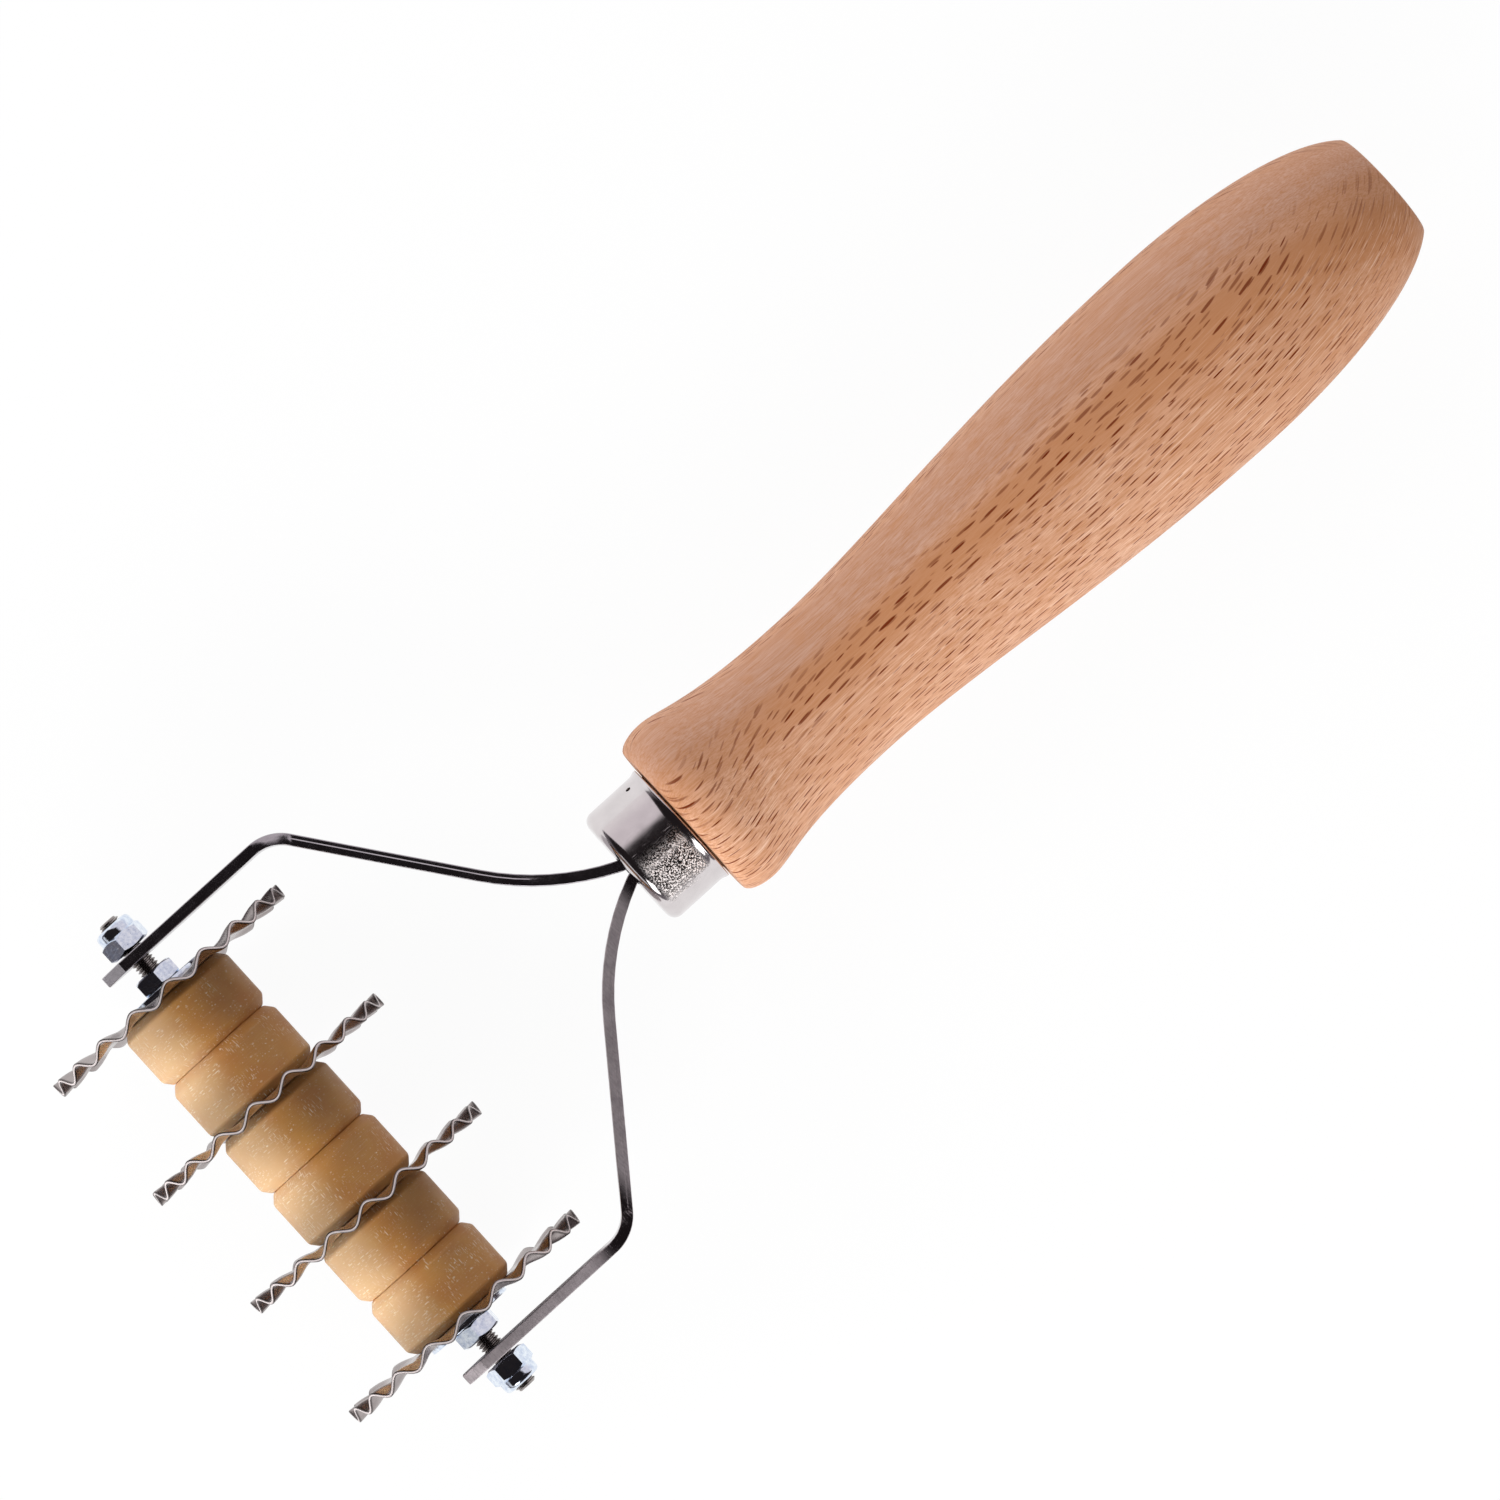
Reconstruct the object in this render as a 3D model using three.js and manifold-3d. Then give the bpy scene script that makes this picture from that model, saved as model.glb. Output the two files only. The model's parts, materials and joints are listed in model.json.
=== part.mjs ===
// Multi-blade pasta cutter: a turned wooden handle, a fork of two bent steel strips, and a roller of fluted
// blades and spacers on a threaded rod that turns in the fork.
// Millimetres. In the tool's own frame the axle's centre is the origin, X runs to the butt of the handle,
// Y along the axle and Z up. Left is +Y, as seen looking from the roller to the handle.

import * as THREE from "three";
import { mergeVertices } from "three/addons/utils/BufferGeometryUtils.js";
import Module from "manifold-3d";

const wasm = await Module();
wasm.setup();

// Blades: flat sheet steel discs, pressed into radial waves along the rim.
// Each turn is where a blade's first crest stands, in degrees from the top towards the handle.
const bladeRadius = 19;
const bladeSheet = 0.5;
const bladeWaves = 20;
const bladeWaveHeight = 1.6;
const bladeWaveReach = 4;
const bladeTurns = [2.6, 12.8, 1.9, 0.7];

// Spacers between the blades.
const spacersPerGap = 2;
const spacerLength = 9;
const spacerRadius = 8.5;
const spacerChamferDepth = 1;
const spacerChamferLength = 1.2;

// Threaded rod, washers and nuts. The turns are of a lock nut's corner, in degrees from the top.
const rodRadius = 1.5;
const rodEndChamfer = 0.4;
const rodStickOut = 0.7;
const washerRadius = 6.2;
const washerThickness = 0.8;
const nutFlatWall = 1.25;
const nutFaceInset = 0.15;
const nutChamferAngle = 30;
const hexNutHeight = 2.4;
const lockNutHexHeight = 2.5;
const lockNutCollarHeight = 1.5;
const lockNutCollarInset = 0.1;
const lockNutCollarWall = 0.35;
const lockNutCollarRound = 0.5;
const lockNutLip = 0.3;
const lockNutLipOverhang = 0.35;
const lockNutTurns = { left: -12.3, right: 26.8 };

// Fork arms: flat strips bent on edge, straight beside the roller, then in to the handle.
const armThickness = 1.5;
const armWidth = 10;
const armTipReach = 5.3;
const armTipCornerCut = 3;
const armStraightPastBlade = 0.7;
const forkAngle = 53;
const forkBendRadius = 5.5;
const kneeAngle = 24;
const sweepRadius = 35;
const tangBendRadius = 6;
const tangSeat = 1.9;
const tangLength = 45;

// Ferrule cup: its ledge is how far it stands out past the edges of the tangs.
const ferruleLedge = 3.66;
const ferruleLength = 9.2;
const ferruleWall = 0.8;
const ferruleEdgeRound = 1.4;

// Handle: the runs follow each other from its front face to its butt.
const frontRun = 3.9;
const neckRun = 21.4;
const bellyRun = 63.3;
const buttRun = 31.4;
const frontRoundDepth = 1.6;
const flareRadius = 12.8;
const neckWood = 5.68;
const bellyRadius = 14.48;
const buttRadius = 7.7;
const buttShoulderLength = 5.9;
const buttShoulderRise = 5.4;

// How long each curve of the handle's outline keeps its direction, as a share of its run.
const flarePull = 0.15;
const neckFrontPull = 0.72;
const neckBackPull = 0.25;
const bellyFrontPull = 0.45;
const bellyBackPull = 0.31;

// Clearances.
const boreClearance = 0.15;
const threadClearance = 0.1;
const pivotClearance = 0.2;
const runningGap = 0.3;
const armSideGap = 1.9;
const seatGap = 0.3;
const slotClearance = 0.3;

// How finely the round shapes are faceted.
const smallSides = 24;
const spacerSides = 32;
const handleSides = 40;
const pointsPerWave = 4;
const waveSteps = 2;
const arcStep = 8;
const roundSteps = 4;
const neckSteps = 6;
const bellySteps = 7;
const buttSteps = 8;
const cutOverrun = 1;
const mergeDistance = 1e-4;

const sides = { left: 1, right: -1 };

const beech = { color: 0xd9b384, roughness: 0.6, metalness: 0 };
const nickel = { color: 0xb9b6b2, roughness: 0.2, metalness: 1 };
const stripSteel = { color: 0x8b8688, roughness: 0.4, metalness: 1 };
const bladeSteel = { color: 0xa79f9c, roughness: 0.35, metalness: 1 };
const zinc = { color: 0xb4bac6, roughness: 0.3, metalness: 1 };
const tanPlastic = { color: 0xb98b56, roughness: 0.45, metalness: 0 };
const nylon = { color: 0xd8d8d2, roughness: 0.5, metalness: 0 };

const radians = THREE.MathUtils.degToRad;

// Merges the shared corners of a geometry and drops the empty triangles, so that it is one closed skin.
function closed(geometry) {
  geometry.deleteAttribute("normal");
  geometry.deleteAttribute("uv");
  const merged = mergeVertices(geometry, mergeDistance);
  const corners = merged.index.array;
  const kept = [];
  for (let i = 0; i < corners.length; i += 3) {
    const [a, b, c] = corners.slice(i, i + 3);
    if (a !== b && b !== c && c !== a) kept.push(a, b, c);
  }
  merged.setIndex(kept);
  return merged;
}

function toSolid(geometry) {
  const skin = closed(geometry);
  const vertProperties = new Float32Array(skin.attributes.position.array);
  const triVerts = new Uint32Array(skin.index.array);
  return new wasm.Manifold(new wasm.Mesh({ numProp: 3, vertProperties, triVerts }));
}

function toGeometry(solid) {
  const skin = solid.getMesh();
  const geometry = new THREE.BufferGeometry();
  geometry.setAttribute("position", new THREE.BufferAttribute(skin.vertProperties, 3));
  geometry.setIndex(new THREE.BufferAttribute(skin.triVerts, 1));
  return geometry;
}

function cut(body, ...tools) {
  return toGeometry(tools.reduce((solid, tool) => solid.subtract(toSolid(tool)), toSolid(body)));
}

// A body turned about Y from [radius, height] points.
function turned(points, segments, startAngle = 0) {
  return new THREE.LatheGeometry(points.map(([r, y]) => new THREE.Vector2(r, y)), segments, startAngle);
}

// A ring about Y between two radii and two heights.
function ring(inner, outer, low, high, segments) {
  return turned([[inner, low], [outer, low], [outer, high], [inner, high], [inner, low]], segments);
}

// A turned body whose axis is laid along X, its foot at x.
function laidAlongX(geometry, x) {
  return geometry.rotateZ(-Math.PI / 2).translate(x, 0, 0);
}

function boxBetween(low, high) {
  const size = high.map((value, axis) => value - low[axis]);
  const middle = high.map((value, axis) => (value + low[axis]) / 2);
  return new THREE.BoxGeometry(...size).translate(...middle);
}

function piece(name, geometry, finish) {
  const mesh = new THREE.Mesh(closed(geometry), new THREE.MeshStandardMaterial(finish));
  mesh.geometry.computeVertexNormals();
  mesh.name = name;
  return mesh;
}

// Places along the axle, from the middle outwards.
const bladePitch = spacersPerGap * spacerLength + bladeSheet;
const stackHalf = ((bladeTurns.length - 1) * bladePitch + bladeSheet) / 2;
const hexNutFoot = stackHalf + washerThickness;
const armInnerFace = hexNutFoot + hexNutHeight + armSideGap;
const lockNutFoot = armInnerFace + armThickness + runningGap;
const lockNutHeight = lockNutHexHeight + lockNutCollarHeight;
const rodHalf = lockNutFoot + lockNutHeight + rodStickOut;
const slipRadius = rodRadius + boreClearance;
const nutBoreRadius = rodRadius + threadClearance;
const nutFlatRadius = rodRadius + nutFlatWall;
const nutFaceRadius = nutFlatRadius - nutFaceInset;
const nutCornerRadius = (nutFlatRadius * 2) / Math.sqrt(3);
const collarRadius = nutFlatRadius - lockNutCollarInset;
const insertRadius = collarRadius - lockNutCollarWall - threadClearance;

// Blade: its sheet is lifted by a wave that swells from the flat middle to the rim.
function blade(turn) {
  const half = bladeSheet / 2;
  const flatRadius = bladeRadius - bladeWaveReach;
  const rings = [];
  for (let step = 0; step <= waveSteps; step += 1) {
    rings.push(flatRadius + (bladeWaveReach * step) / waveSteps);
  }
  const section = [
    [slipRadius, -half],
    ...rings.map((radius) => [radius, -half]),
    ...rings.toReversed().map((radius) => [radius, half]),
    [slipRadius, half],
    [slipRadius, -half],
  ];
  const geometry = turned(section, bladeWaves * pointsPerWave, radians(turn));
  const position = geometry.attributes.position;
  for (let i = 0; i < position.count; i += 1) {
    const x = position.getX(i);
    const z = position.getZ(i);
    const share = Math.max(Math.hypot(x, z) - flatRadius, 0) / bladeWaveReach;
    const swell = Math.sin((Math.PI / 2) * share);
    const wave = Math.cos(bladeWaves * (Math.atan2(x, z) - radians(turn)));
    position.setY(i, position.getY(i) + (bladeWaveHeight / 2) * swell * wave);
  }
  return geometry;
}

function spacer() {
  const half = spacerLength / 2;
  const endRadius = spacerRadius - spacerChamferDepth;
  const chamferStart = half - spacerChamferLength;
  return turned(
    [
      [slipRadius, -half],
      [endRadius, -half],
      [spacerRadius, -chamferStart],
      [spacerRadius, chamferStart],
      [endRadius, half],
      [slipRadius, half],
      [slipRadius, -half],
    ],
    spacerSides,
  );
}

function axle() {
  const neck = rodRadius - rodEndChamfer;
  const shoulder = rodHalf - rodEndChamfer;
  return turned(
    [
      [0, -rodHalf],
      [neck, -rodHalf],
      [rodRadius, -shoulder],
      [rodRadius, shoulder],
      [neck, rodHalf],
      [0, rodHalf],
    ],
    smallSides,
  );
}

// A hexagonal bar with its foot at y = 0 and a corner at the top.
function hexBar(height) {
  return new THREE.CylinderGeometry(nutCornerRadius, nutCornerRadius, height, 6).translate(0, height / 2, 0);
}

// How far the chamfer that rounds a nut's corners reaches from its face.
const nutChamferReach = (nutCornerRadius - nutFaceRadius) * Math.tan(radians(nutChamferAngle));

function hexNut() {
  const rounding = turned(
    [
      [0, 0],
      [nutFaceRadius, 0],
      [nutCornerRadius, nutChamferReach],
      [nutCornerRadius, hexNutHeight - nutChamferReach],
      [nutFaceRadius, hexNutHeight],
      [0, hexNutHeight],
    ],
    smallSides,
  );
  const body = toSolid(hexBar(hexNutHeight)).intersect(toSolid(rounding));
  const boreLength = 2 * (hexNutHeight + cutOverrun);
  const bore = new THREE.CylinderGeometry(nutBoreRadius, nutBoreRadius, boreLength, smallSides);
  return toGeometry(body.subtract(toSolid(bore)));
}

// Lock nut: a hexagon with a round collar, hollowed inside for its nylon ring.
function lockNut() {
  const collarShoulder = lockNutHeight - lockNutCollarRound;
  const rounding = turned(
    [
      [0, 0],
      [nutFaceRadius, 0],
      [nutCornerRadius, nutChamferReach],
      [nutCornerRadius, lockNutHexHeight - nutChamferReach],
      [collarRadius, lockNutHexHeight],
      [collarRadius, collarShoulder],
      [collarRadius - lockNutCollarRound, lockNutHeight],
      [0, lockNutHeight],
    ],
    smallSides,
  );
  const recessRadius = collarRadius - lockNutCollarWall;
  const lipRadius = insertRadius - lockNutLipOverhang;
  const hollow = turned(
    [
      [0, -cutOverrun],
      [nutBoreRadius, -cutOverrun],
      [nutBoreRadius, lockNutHexHeight],
      [recessRadius, lockNutHexHeight],
      [recessRadius, lockNutHeight - lockNutLip],
      [lipRadius, lockNutHeight - lockNutLip],
      [lipRadius, lockNutHeight + cutOverrun],
      [0, lockNutHeight + cutOverrun],
    ],
    smallSides,
  );
  const body = toSolid(hexBar(lockNutHeight)).intersect(toSolid(rounding));
  return toGeometry(body.subtract(toSolid(hollow)));
}

function lockNutInsert() {
  return ring(nutBoreRadius, insertRadius, lockNutHexHeight, lockNutHeight - lockNutLip, smallSides);
}

// A piece of the roller's screw hardware on one side, its foot at a distance from the middle.
function hardware(name, geometry, side, foot, finish, turn = 0) {
  const mesh = piece(`${name}_${side}`, geometry, finish);
  mesh.rotation.z = side === "left" ? 0 : Math.PI;
  mesh.rotation.y = radians(turn) * sides[side];
  mesh.rotation.order = "ZYX";
  mesh.position.y = foot * sides[side];
  return mesh;
}

function roller() {
  const group = new THREE.Group();
  group.add(piece("axle", axle(), zinc));
  const firstBlade = stackHalf - bladeSheet / 2;
  bladeTurns.forEach((turn, index) => {
    const mesh = piece(`blade_${index + 1}`, blade(turn), bladeSteel);
    mesh.position.y = firstBlade - index * bladePitch;
    group.add(mesh);
  });
  const spacerCount = spacersPerGap * (bladeTurns.length - 1);
  for (let index = 0; index < spacerCount; index += 1) {
    const gap = Math.floor(index / spacersPerGap);
    const inGap = index % spacersPerGap;
    const mesh = piece(`spacer_${index + 1}`, spacer(), tanPlastic);
    mesh.position.y = stackHalf - bladeSheet - gap * bladePitch - (inGap + 0.5) * spacerLength;
    group.add(mesh);
  }
  for (const side of Object.keys(sides)) {
    const washer = ring(slipRadius, washerRadius, 0, washerThickness, spacerSides);
    group.add(hardware("washer", washer, side, stackHalf, zinc));
    group.add(hardware("hex_nut", hexNut(), side, hexNutFoot, zinc));
    group.add(hardware("lock_nut", lockNut(), side, lockNutFoot, zinc, lockNutTurns[side]));
    group.add(hardware("lock_nut_insert", lockNutInsert(), side, lockNutFoot, nylon));
  }
  return group;
}

// Fork: how far each stretch of the left arm's middle line runs in and back.
const armMiddle = armInnerFace + armThickness / 2;
const tangMiddle = armThickness / 2;
const fork = radians(forkAngle);
const knee = radians(kneeAngle);
const arcsDrop =
  forkBendRadius * (1 - Math.cos(fork)) +
  sweepRadius * (Math.cos(knee) - Math.cos(fork)) +
  tangBendRadius * (1 - Math.cos(knee));
const diagonalLength = (armMiddle - tangMiddle - arcsDrop) / Math.sin(fork);
const bendsRun =
  forkBendRadius * Math.sin(fork) +
  diagonalLength * Math.cos(fork) +
  sweepRadius * (Math.sin(fork) - Math.sin(knee)) +
  tangBendRadius * Math.sin(knee);
const bendStart = bladeRadius + armStraightPastBlade;
const tangStart = bendStart + bendsRun;
const armLegs = [
  { run: armTipReach + bendStart },
  { turn: -fork, radius: forkBendRadius },
  { run: diagonalLength },
  { turn: fork - knee, radius: sweepRadius },
  { turn: knee, radius: tangBendRadius },
  { run: tangLength },
];

// One face of the left arm: the points of its middle line, moved to the left of the walk by an offset.
function armFace(offset) {
  const points = [];
  let x = -armTipReach;
  let y = armMiddle;
  let heading = 0;
  const mark = () => {
    points.push(new THREE.Vector2(x - offset * Math.sin(heading), y + offset * Math.cos(heading)));
  };
  mark();
  for (const { run = 0, turn = 0, radius = 0 } of armLegs) {
    const steps = Math.max(1, Math.ceil(Math.abs(turn) / radians(arcStep)));
    for (let step = 0; step < steps; step += 1) {
      const stride = run + 2 * radius * Math.sin(Math.abs(turn) / steps / 2);
      heading += turn / steps / 2;
      x += stride * Math.cos(heading);
      y += stride * Math.sin(heading);
      heading += turn / steps / 2;
      mark();
    }
  }
  return points;
}

const armOuterFace = armFace(armThickness / 2);
const armOutline = [...armOuterFace, ...armFace(-armThickness / 2).reverse()];

// How far the arm's outer face stands from the middle plane where it passes x.
function armReachAt(x) {
  const after = armOuterFace.findIndex((point) => point.x >= x);
  const [a, b] = [armOuterFace[after - 1], armOuterFace[after]];
  return a.y + ((b.y - a.y) * (x - a.x)) / (b.x - a.x);
}

function arm(side) {
  const outline = armOutline.map((point) => new THREE.Vector2(point.x, point.y * sides[side]));
  const strip = new THREE.ExtrudeGeometry(new THREE.Shape(outline), { depth: armWidth, bevelEnabled: false });
  strip.translate(0, 0, -armWidth / 2);
  const middle = armMiddle * sides[side];
  const holeRadius = rodRadius + pivotClearance;
  const through = armThickness + 2 * cutOverrun;
  const hole = new THREE.CylinderGeometry(holeRadius, holeRadius, through, smallSides);
  hole.translate(0, middle, 0);
  const corners = [1, -1].map((up) => {
    const diamond = new THREE.CylinderGeometry(armTipCornerCut, armTipCornerCut, through, 4);
    return diamond.translate(-armTipReach, middle, (up * armWidth) / 2);
  });
  return cut(strip, hole, ...corners);
}

// Ferrule and handle follow the fork.
const ferruleRadius = armWidth / 2 + ferruleLedge;
const ferruleFront = tangStart - tangSeat;
const handleFront = ferruleFront + ferruleLength + seatGap;
const spigotFront = ferruleFront + ferruleWall + seatGap;
const spigotRadius = ferruleRadius - ferruleWall - seatGap;
const slotHalfWidth = armWidth / 2 + slotClearance;
const tangEnd = tangStart + tangLength;

function ferrule() {
  const rounding = new THREE.EllipseCurve(
    ferruleRadius - ferruleEdgeRound,
    ferruleEdgeRound,
    ferruleEdgeRound,
    ferruleEdgeRound,
    -Math.PI / 2,
    0,
  );
  const innerRadius = ferruleRadius - ferruleWall;
  const cup = turned(
    [
      [0, 0],
      ...rounding.getPoints(roundSteps).map((point) => [point.x, point.y]),
      [ferruleRadius, ferruleLength],
      [innerRadius, ferruleLength],
      [innerRadius, ferruleWall],
      [0, ferruleWall],
    ],
    handleSides,
  );
  const slotHalf = armReachAt(ferruleFront) + slotClearance;
  const slot = boxBetween(
    [ferruleFront - cutOverrun, -slotHalf, -slotHalfWidth],
    [ferruleFront + ferruleWall + cutOverrun, slotHalf, slotHalfWidth],
  );
  return cut(laidAlongX(cup, ferruleFront), slot);
}

// Where the handle's flare, neck, belly and butt stand, measured from its front face.
const neckRadius = armWidth / 2 + neckWood;
const neckStation = frontRun + neckRun;
const bellyStation = neckStation + bellyRun;
const handleLength = bellyStation + buttRun;

// The handle's outline behind its front face, as [distance from the face, radius] points.
function handleOutline() {
  const frontRound = new THREE.EllipseCurve(
    frontRun,
    flareRadius - frontRoundDepth,
    frontRun,
    frontRoundDepth,
    Math.PI,
    Math.PI / 2,
    true,
  );
  const curve = (...points) => new THREE.CubicBezierCurve(...points.map((p) => new THREE.Vector2(...p)));
  const flareToNeck = curve(
    [frontRun, flareRadius],
    [frontRun + flarePull * neckRun, flareRadius],
    [neckStation - neckFrontPull * neckRun, neckRadius],
    [neckStation, neckRadius],
  );
  const neckToBelly = curve(
    [neckStation, neckRadius],
    [neckStation + neckBackPull * bellyRun, neckRadius],
    [bellyStation - bellyFrontPull * bellyRun, bellyRadius],
    [bellyStation, bellyRadius],
  );
  const bellyToButt = curve(
    [bellyStation, bellyRadius],
    [bellyStation + bellyBackPull * buttRun, bellyRadius],
    [handleLength - buttShoulderLength, buttRadius + buttShoulderRise],
    [handleLength, buttRadius],
  );
  return [
    ...frontRound.getPoints(roundSteps),
    ...flareToNeck.getPoints(neckSteps).slice(1),
    ...neckToBelly.getPoints(bellySteps).slice(1),
    ...bellyToButt.getPoints(buttSteps).slice(1),
  ].map((point) => [point.x, point.y]);
}

const handlePoints = handleOutline();

function woodenHandle() {
  const spigotLength = handleFront - spigotFront;
  const body = turned(
    [
      [0, -spigotLength],
      [spigotRadius, -spigotLength],
      [spigotRadius, 0],
      ...handlePoints.map(([station, radius]) => [radius, station]),
      [0, handleLength],
    ],
    handleSides,
  );
  const slotHalf = armReachAt(spigotFront) + slotClearance;
  const slot = boxBetween(
    [spigotFront - cutOverrun, -slotHalf, -slotHalfWidth],
    [tangEnd + seatGap, slotHalf, slotHalfWidth],
  );
  return cut(laidAlongX(body, handleFront), slot);
}

// The tool lies on its blades and on the handle's belly: the tilt at which the belly first meets the surface.
function restTilt() {
  const tilts = handlePoints.map(([station, radius]) => {
    const x = handleFront + station;
    return Math.asin(bladeRadius / Math.hypot(x, radius)) - Math.atan2(radius, x);
  });
  return Math.min(...tilts);
}

const tool = new THREE.Group();
tool.add(piece("wooden_handle", woodenHandle(), beech));
tool.add(piece("ferrule", ferrule(), nickel));
tool.add(piece("arm_left", arm("left"), stripSteel));
tool.add(piece("arm_right", arm("right"), stripSteel));
tool.add(roller());
tool.rotation.y = restTilt();

// The origin of the part is under the middle of the lying tool.
const pastaCutter = new THREE.Group();
pastaCutter.add(tool);
pastaCutter.updateMatrixWorld(true);
const extent = new THREE.Box3().setFromObject(tool, true);
tool.position.x = -(extent.min.x + extent.max.x) / 2;
tool.position.z = -extent.min.z;
pastaCutter.updateMatrixWorld(true);

export default pastaCutter;
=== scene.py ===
"""Looks of a multi-blade pasta cutter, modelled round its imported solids.

Pieces are shaped in millimetres in the tool's own frame and then set in their place in metres. In that frame
the axle's middle is the origin, X runs to the butt of the handle, Y along the axle and Z up.
"""

import json
import logging
import math
from collections.abc import Callable, Iterator, Sequence
from contextlib import contextmanager
from dataclasses import dataclass
from enum import Enum
from itertools import pairwise

import bmesh
import bpy
from mathutils import Matrix, Vector


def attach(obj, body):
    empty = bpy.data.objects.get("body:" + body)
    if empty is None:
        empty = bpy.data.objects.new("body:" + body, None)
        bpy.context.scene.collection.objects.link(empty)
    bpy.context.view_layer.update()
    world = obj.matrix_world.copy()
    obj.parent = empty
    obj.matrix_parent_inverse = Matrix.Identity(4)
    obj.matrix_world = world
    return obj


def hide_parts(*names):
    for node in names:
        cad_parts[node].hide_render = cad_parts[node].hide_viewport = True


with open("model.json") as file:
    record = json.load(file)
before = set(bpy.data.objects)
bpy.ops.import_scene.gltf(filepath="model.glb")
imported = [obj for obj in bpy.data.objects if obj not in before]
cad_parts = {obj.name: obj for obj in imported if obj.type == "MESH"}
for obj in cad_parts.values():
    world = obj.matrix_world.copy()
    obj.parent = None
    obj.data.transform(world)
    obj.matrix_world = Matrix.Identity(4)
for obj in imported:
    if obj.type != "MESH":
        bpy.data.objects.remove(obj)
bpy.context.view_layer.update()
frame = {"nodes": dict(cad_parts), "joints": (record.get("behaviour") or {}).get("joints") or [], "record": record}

LOG = logging.getLogger("pasta_cutter")
MM = 0.001
MERGE = 1e-4
NEAR = 10 * MERGE
SMOOTH_ANGLE = math.radians(32)
UP = Vector((0, 0, 1))

Pair = tuple[float, float]
Ramp = tuple[float, float, float, float]
Colour = tuple[float, float, float]
Grain = tuple[float, float, float]
Test = Callable[[object], bool]
Socket = bpy.types.NodeSocket


class Axis(Enum):
    """The two axes that pieces are turned about."""

    HANDLE = (1.0, 0.0, 0.0)
    AXLE = (0.0, 1.0, 0.0)


class Pick(Enum):
    """What is selected in edit mode."""

    VERTS = "VERT"
    EDGES = "EDGE"
    FACES = "FACE"


class Side(Enum):
    """The two sides of the tool, by the sign of Y."""

    LEFT = 1
    RIGHT = -1

    def node(self, name: str) -> str:
        """The name of a node on this side."""
        return f"{name}_{self.name.lower()}"


def tool_placement() -> Matrix:
    """Where the tool's frame stands, in metres: its axle from the joint and its tilt from the butt's face.

    Returns:
        The matrix that takes millimetres in the tool's frame to metres in the part's frame.
    """
    joint = frame["joints"][0]
    butt = next(mount for mount in frame["record"]["mounts"] if mount["name"] == "butt_face")
    tilt = math.atan2(-butt["axis"][2], butt["axis"][0])
    return Matrix.Translation(joint["pos_m"]) @ Matrix.Rotation(tilt, 4, "Y") @ Matrix.Scale(MM, 4)


TOOL = tool_placement()


def tool_box(node: str) -> tuple[Vector, Vector]:
    """Measures a solid in the tool's frame.

    Args:
        node: Name of the solid's node.

    Returns:
        Its lowest and highest corners, in millimetres.
    """
    into_tool = TOOL.inverted()
    points = [into_tool @ vertex.co for vertex in frame["nodes"][node].data.vertices]
    low = Vector(min(point[axis] for point in points) for axis in range(3))
    high = Vector(max(point[axis] for point in points) for axis in range(3))
    return low, high


def body_of(node: str) -> str:
    """The body that a solid belongs to."""
    bodies = frame["record"]["behaviour"]["bodies"]
    return next(body for body, nodes in bodies.items() if node in nodes)


def select_only(piece: bpy.types.Object) -> None:
    """Makes one piece the only selected one, and the active one.

    Args:
        piece: The piece to select.
    """
    bpy.ops.object.select_all(action="DESELECT")
    piece.select_set(True)
    bpy.context.view_layer.objects.active = piece


@contextmanager
def editing(piece: bpy.types.Object) -> Iterator[None]:
    """Edit mode on one piece alone.

    Args:
        piece: The piece to edit.
    """
    select_only(piece)
    bpy.ops.object.mode_set(mode="EDIT")
    yield
    bpy.ops.object.mode_set(mode="OBJECT")


def pick(piece: bpy.types.Object, what: Pick, test: Test) -> None:
    """Selects the parts of an edited mesh that pass a test, and nothing else.

    Args:
        piece: The piece in edit mode.
        what: Vertices, edges or faces.
        test: Says of one part whether it is selected.
    """
    bpy.ops.mesh.select_mode(type=what.value)
    bpy.ops.mesh.select_all(action="DESELECT")
    skin = bmesh.from_edit_mesh(piece.data)
    parts = {Pick.VERTS: skin.verts, Pick.EDGES: skin.edges, Pick.FACES: skin.faces}[what]
    for part in parts:
        if test(part):
            part.select_set(True)
    skin.select_flush_mode()
    bmesh.update_edit_mesh(piece.data)


def started(name: str) -> bpy.types.Object:
    """Names the primitive that was just added.

    Args:
        name: Name of the new piece.

    Returns:
        The piece.
    """
    piece = bpy.context.object
    piece.name = name
    piece.data.name = name
    return piece


def apply_modifier(piece: bpy.types.Object, kind: str, **settings: object) -> None:
    """Adds a modifier with its settings and applies it.

    Args:
        piece: The piece to change.
        kind: Blender's name for the modifier.
        **settings: Its settings by name.
    """
    select_only(piece)
    modifier = piece.modifiers.new(kind, kind)
    for setting, value in settings.items():
        setattr(modifier, setting, value)
    bpy.ops.object.modifier_apply(modifier=modifier.name)


def soften(piece: bpy.types.Object, width: float, segments: int = 3, angle: float = 35) -> None:
    """Rounds the sharp edges of a piece.

    Args:
        piece: The piece to soften.
        width: Width of the rounding, in millimetres.
        segments: Steps across the rounding.
        angle: Edges that turn by more than this are rounded, in degrees.
    """
    apply_modifier(
        piece, "BEVEL", width=width, segments=segments, limit_method="ANGLE", angle_limit=math.radians(angle)
    )


def shape_with(piece: bpy.types.Object, cutter: bpy.types.Object, operation: str = "DIFFERENCE") -> None:
    """Cuts a piece with another shape, or keeps what they share, and deletes that shape.

    Args:
        piece: The piece to shape.
        cutter: The other shape.
        operation: Blender's name for what is done.
    """
    apply_modifier(piece, "BOOLEAN", object=cutter, operation=operation, solver="EXACT")
    bpy.data.objects.remove(cutter)


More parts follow.
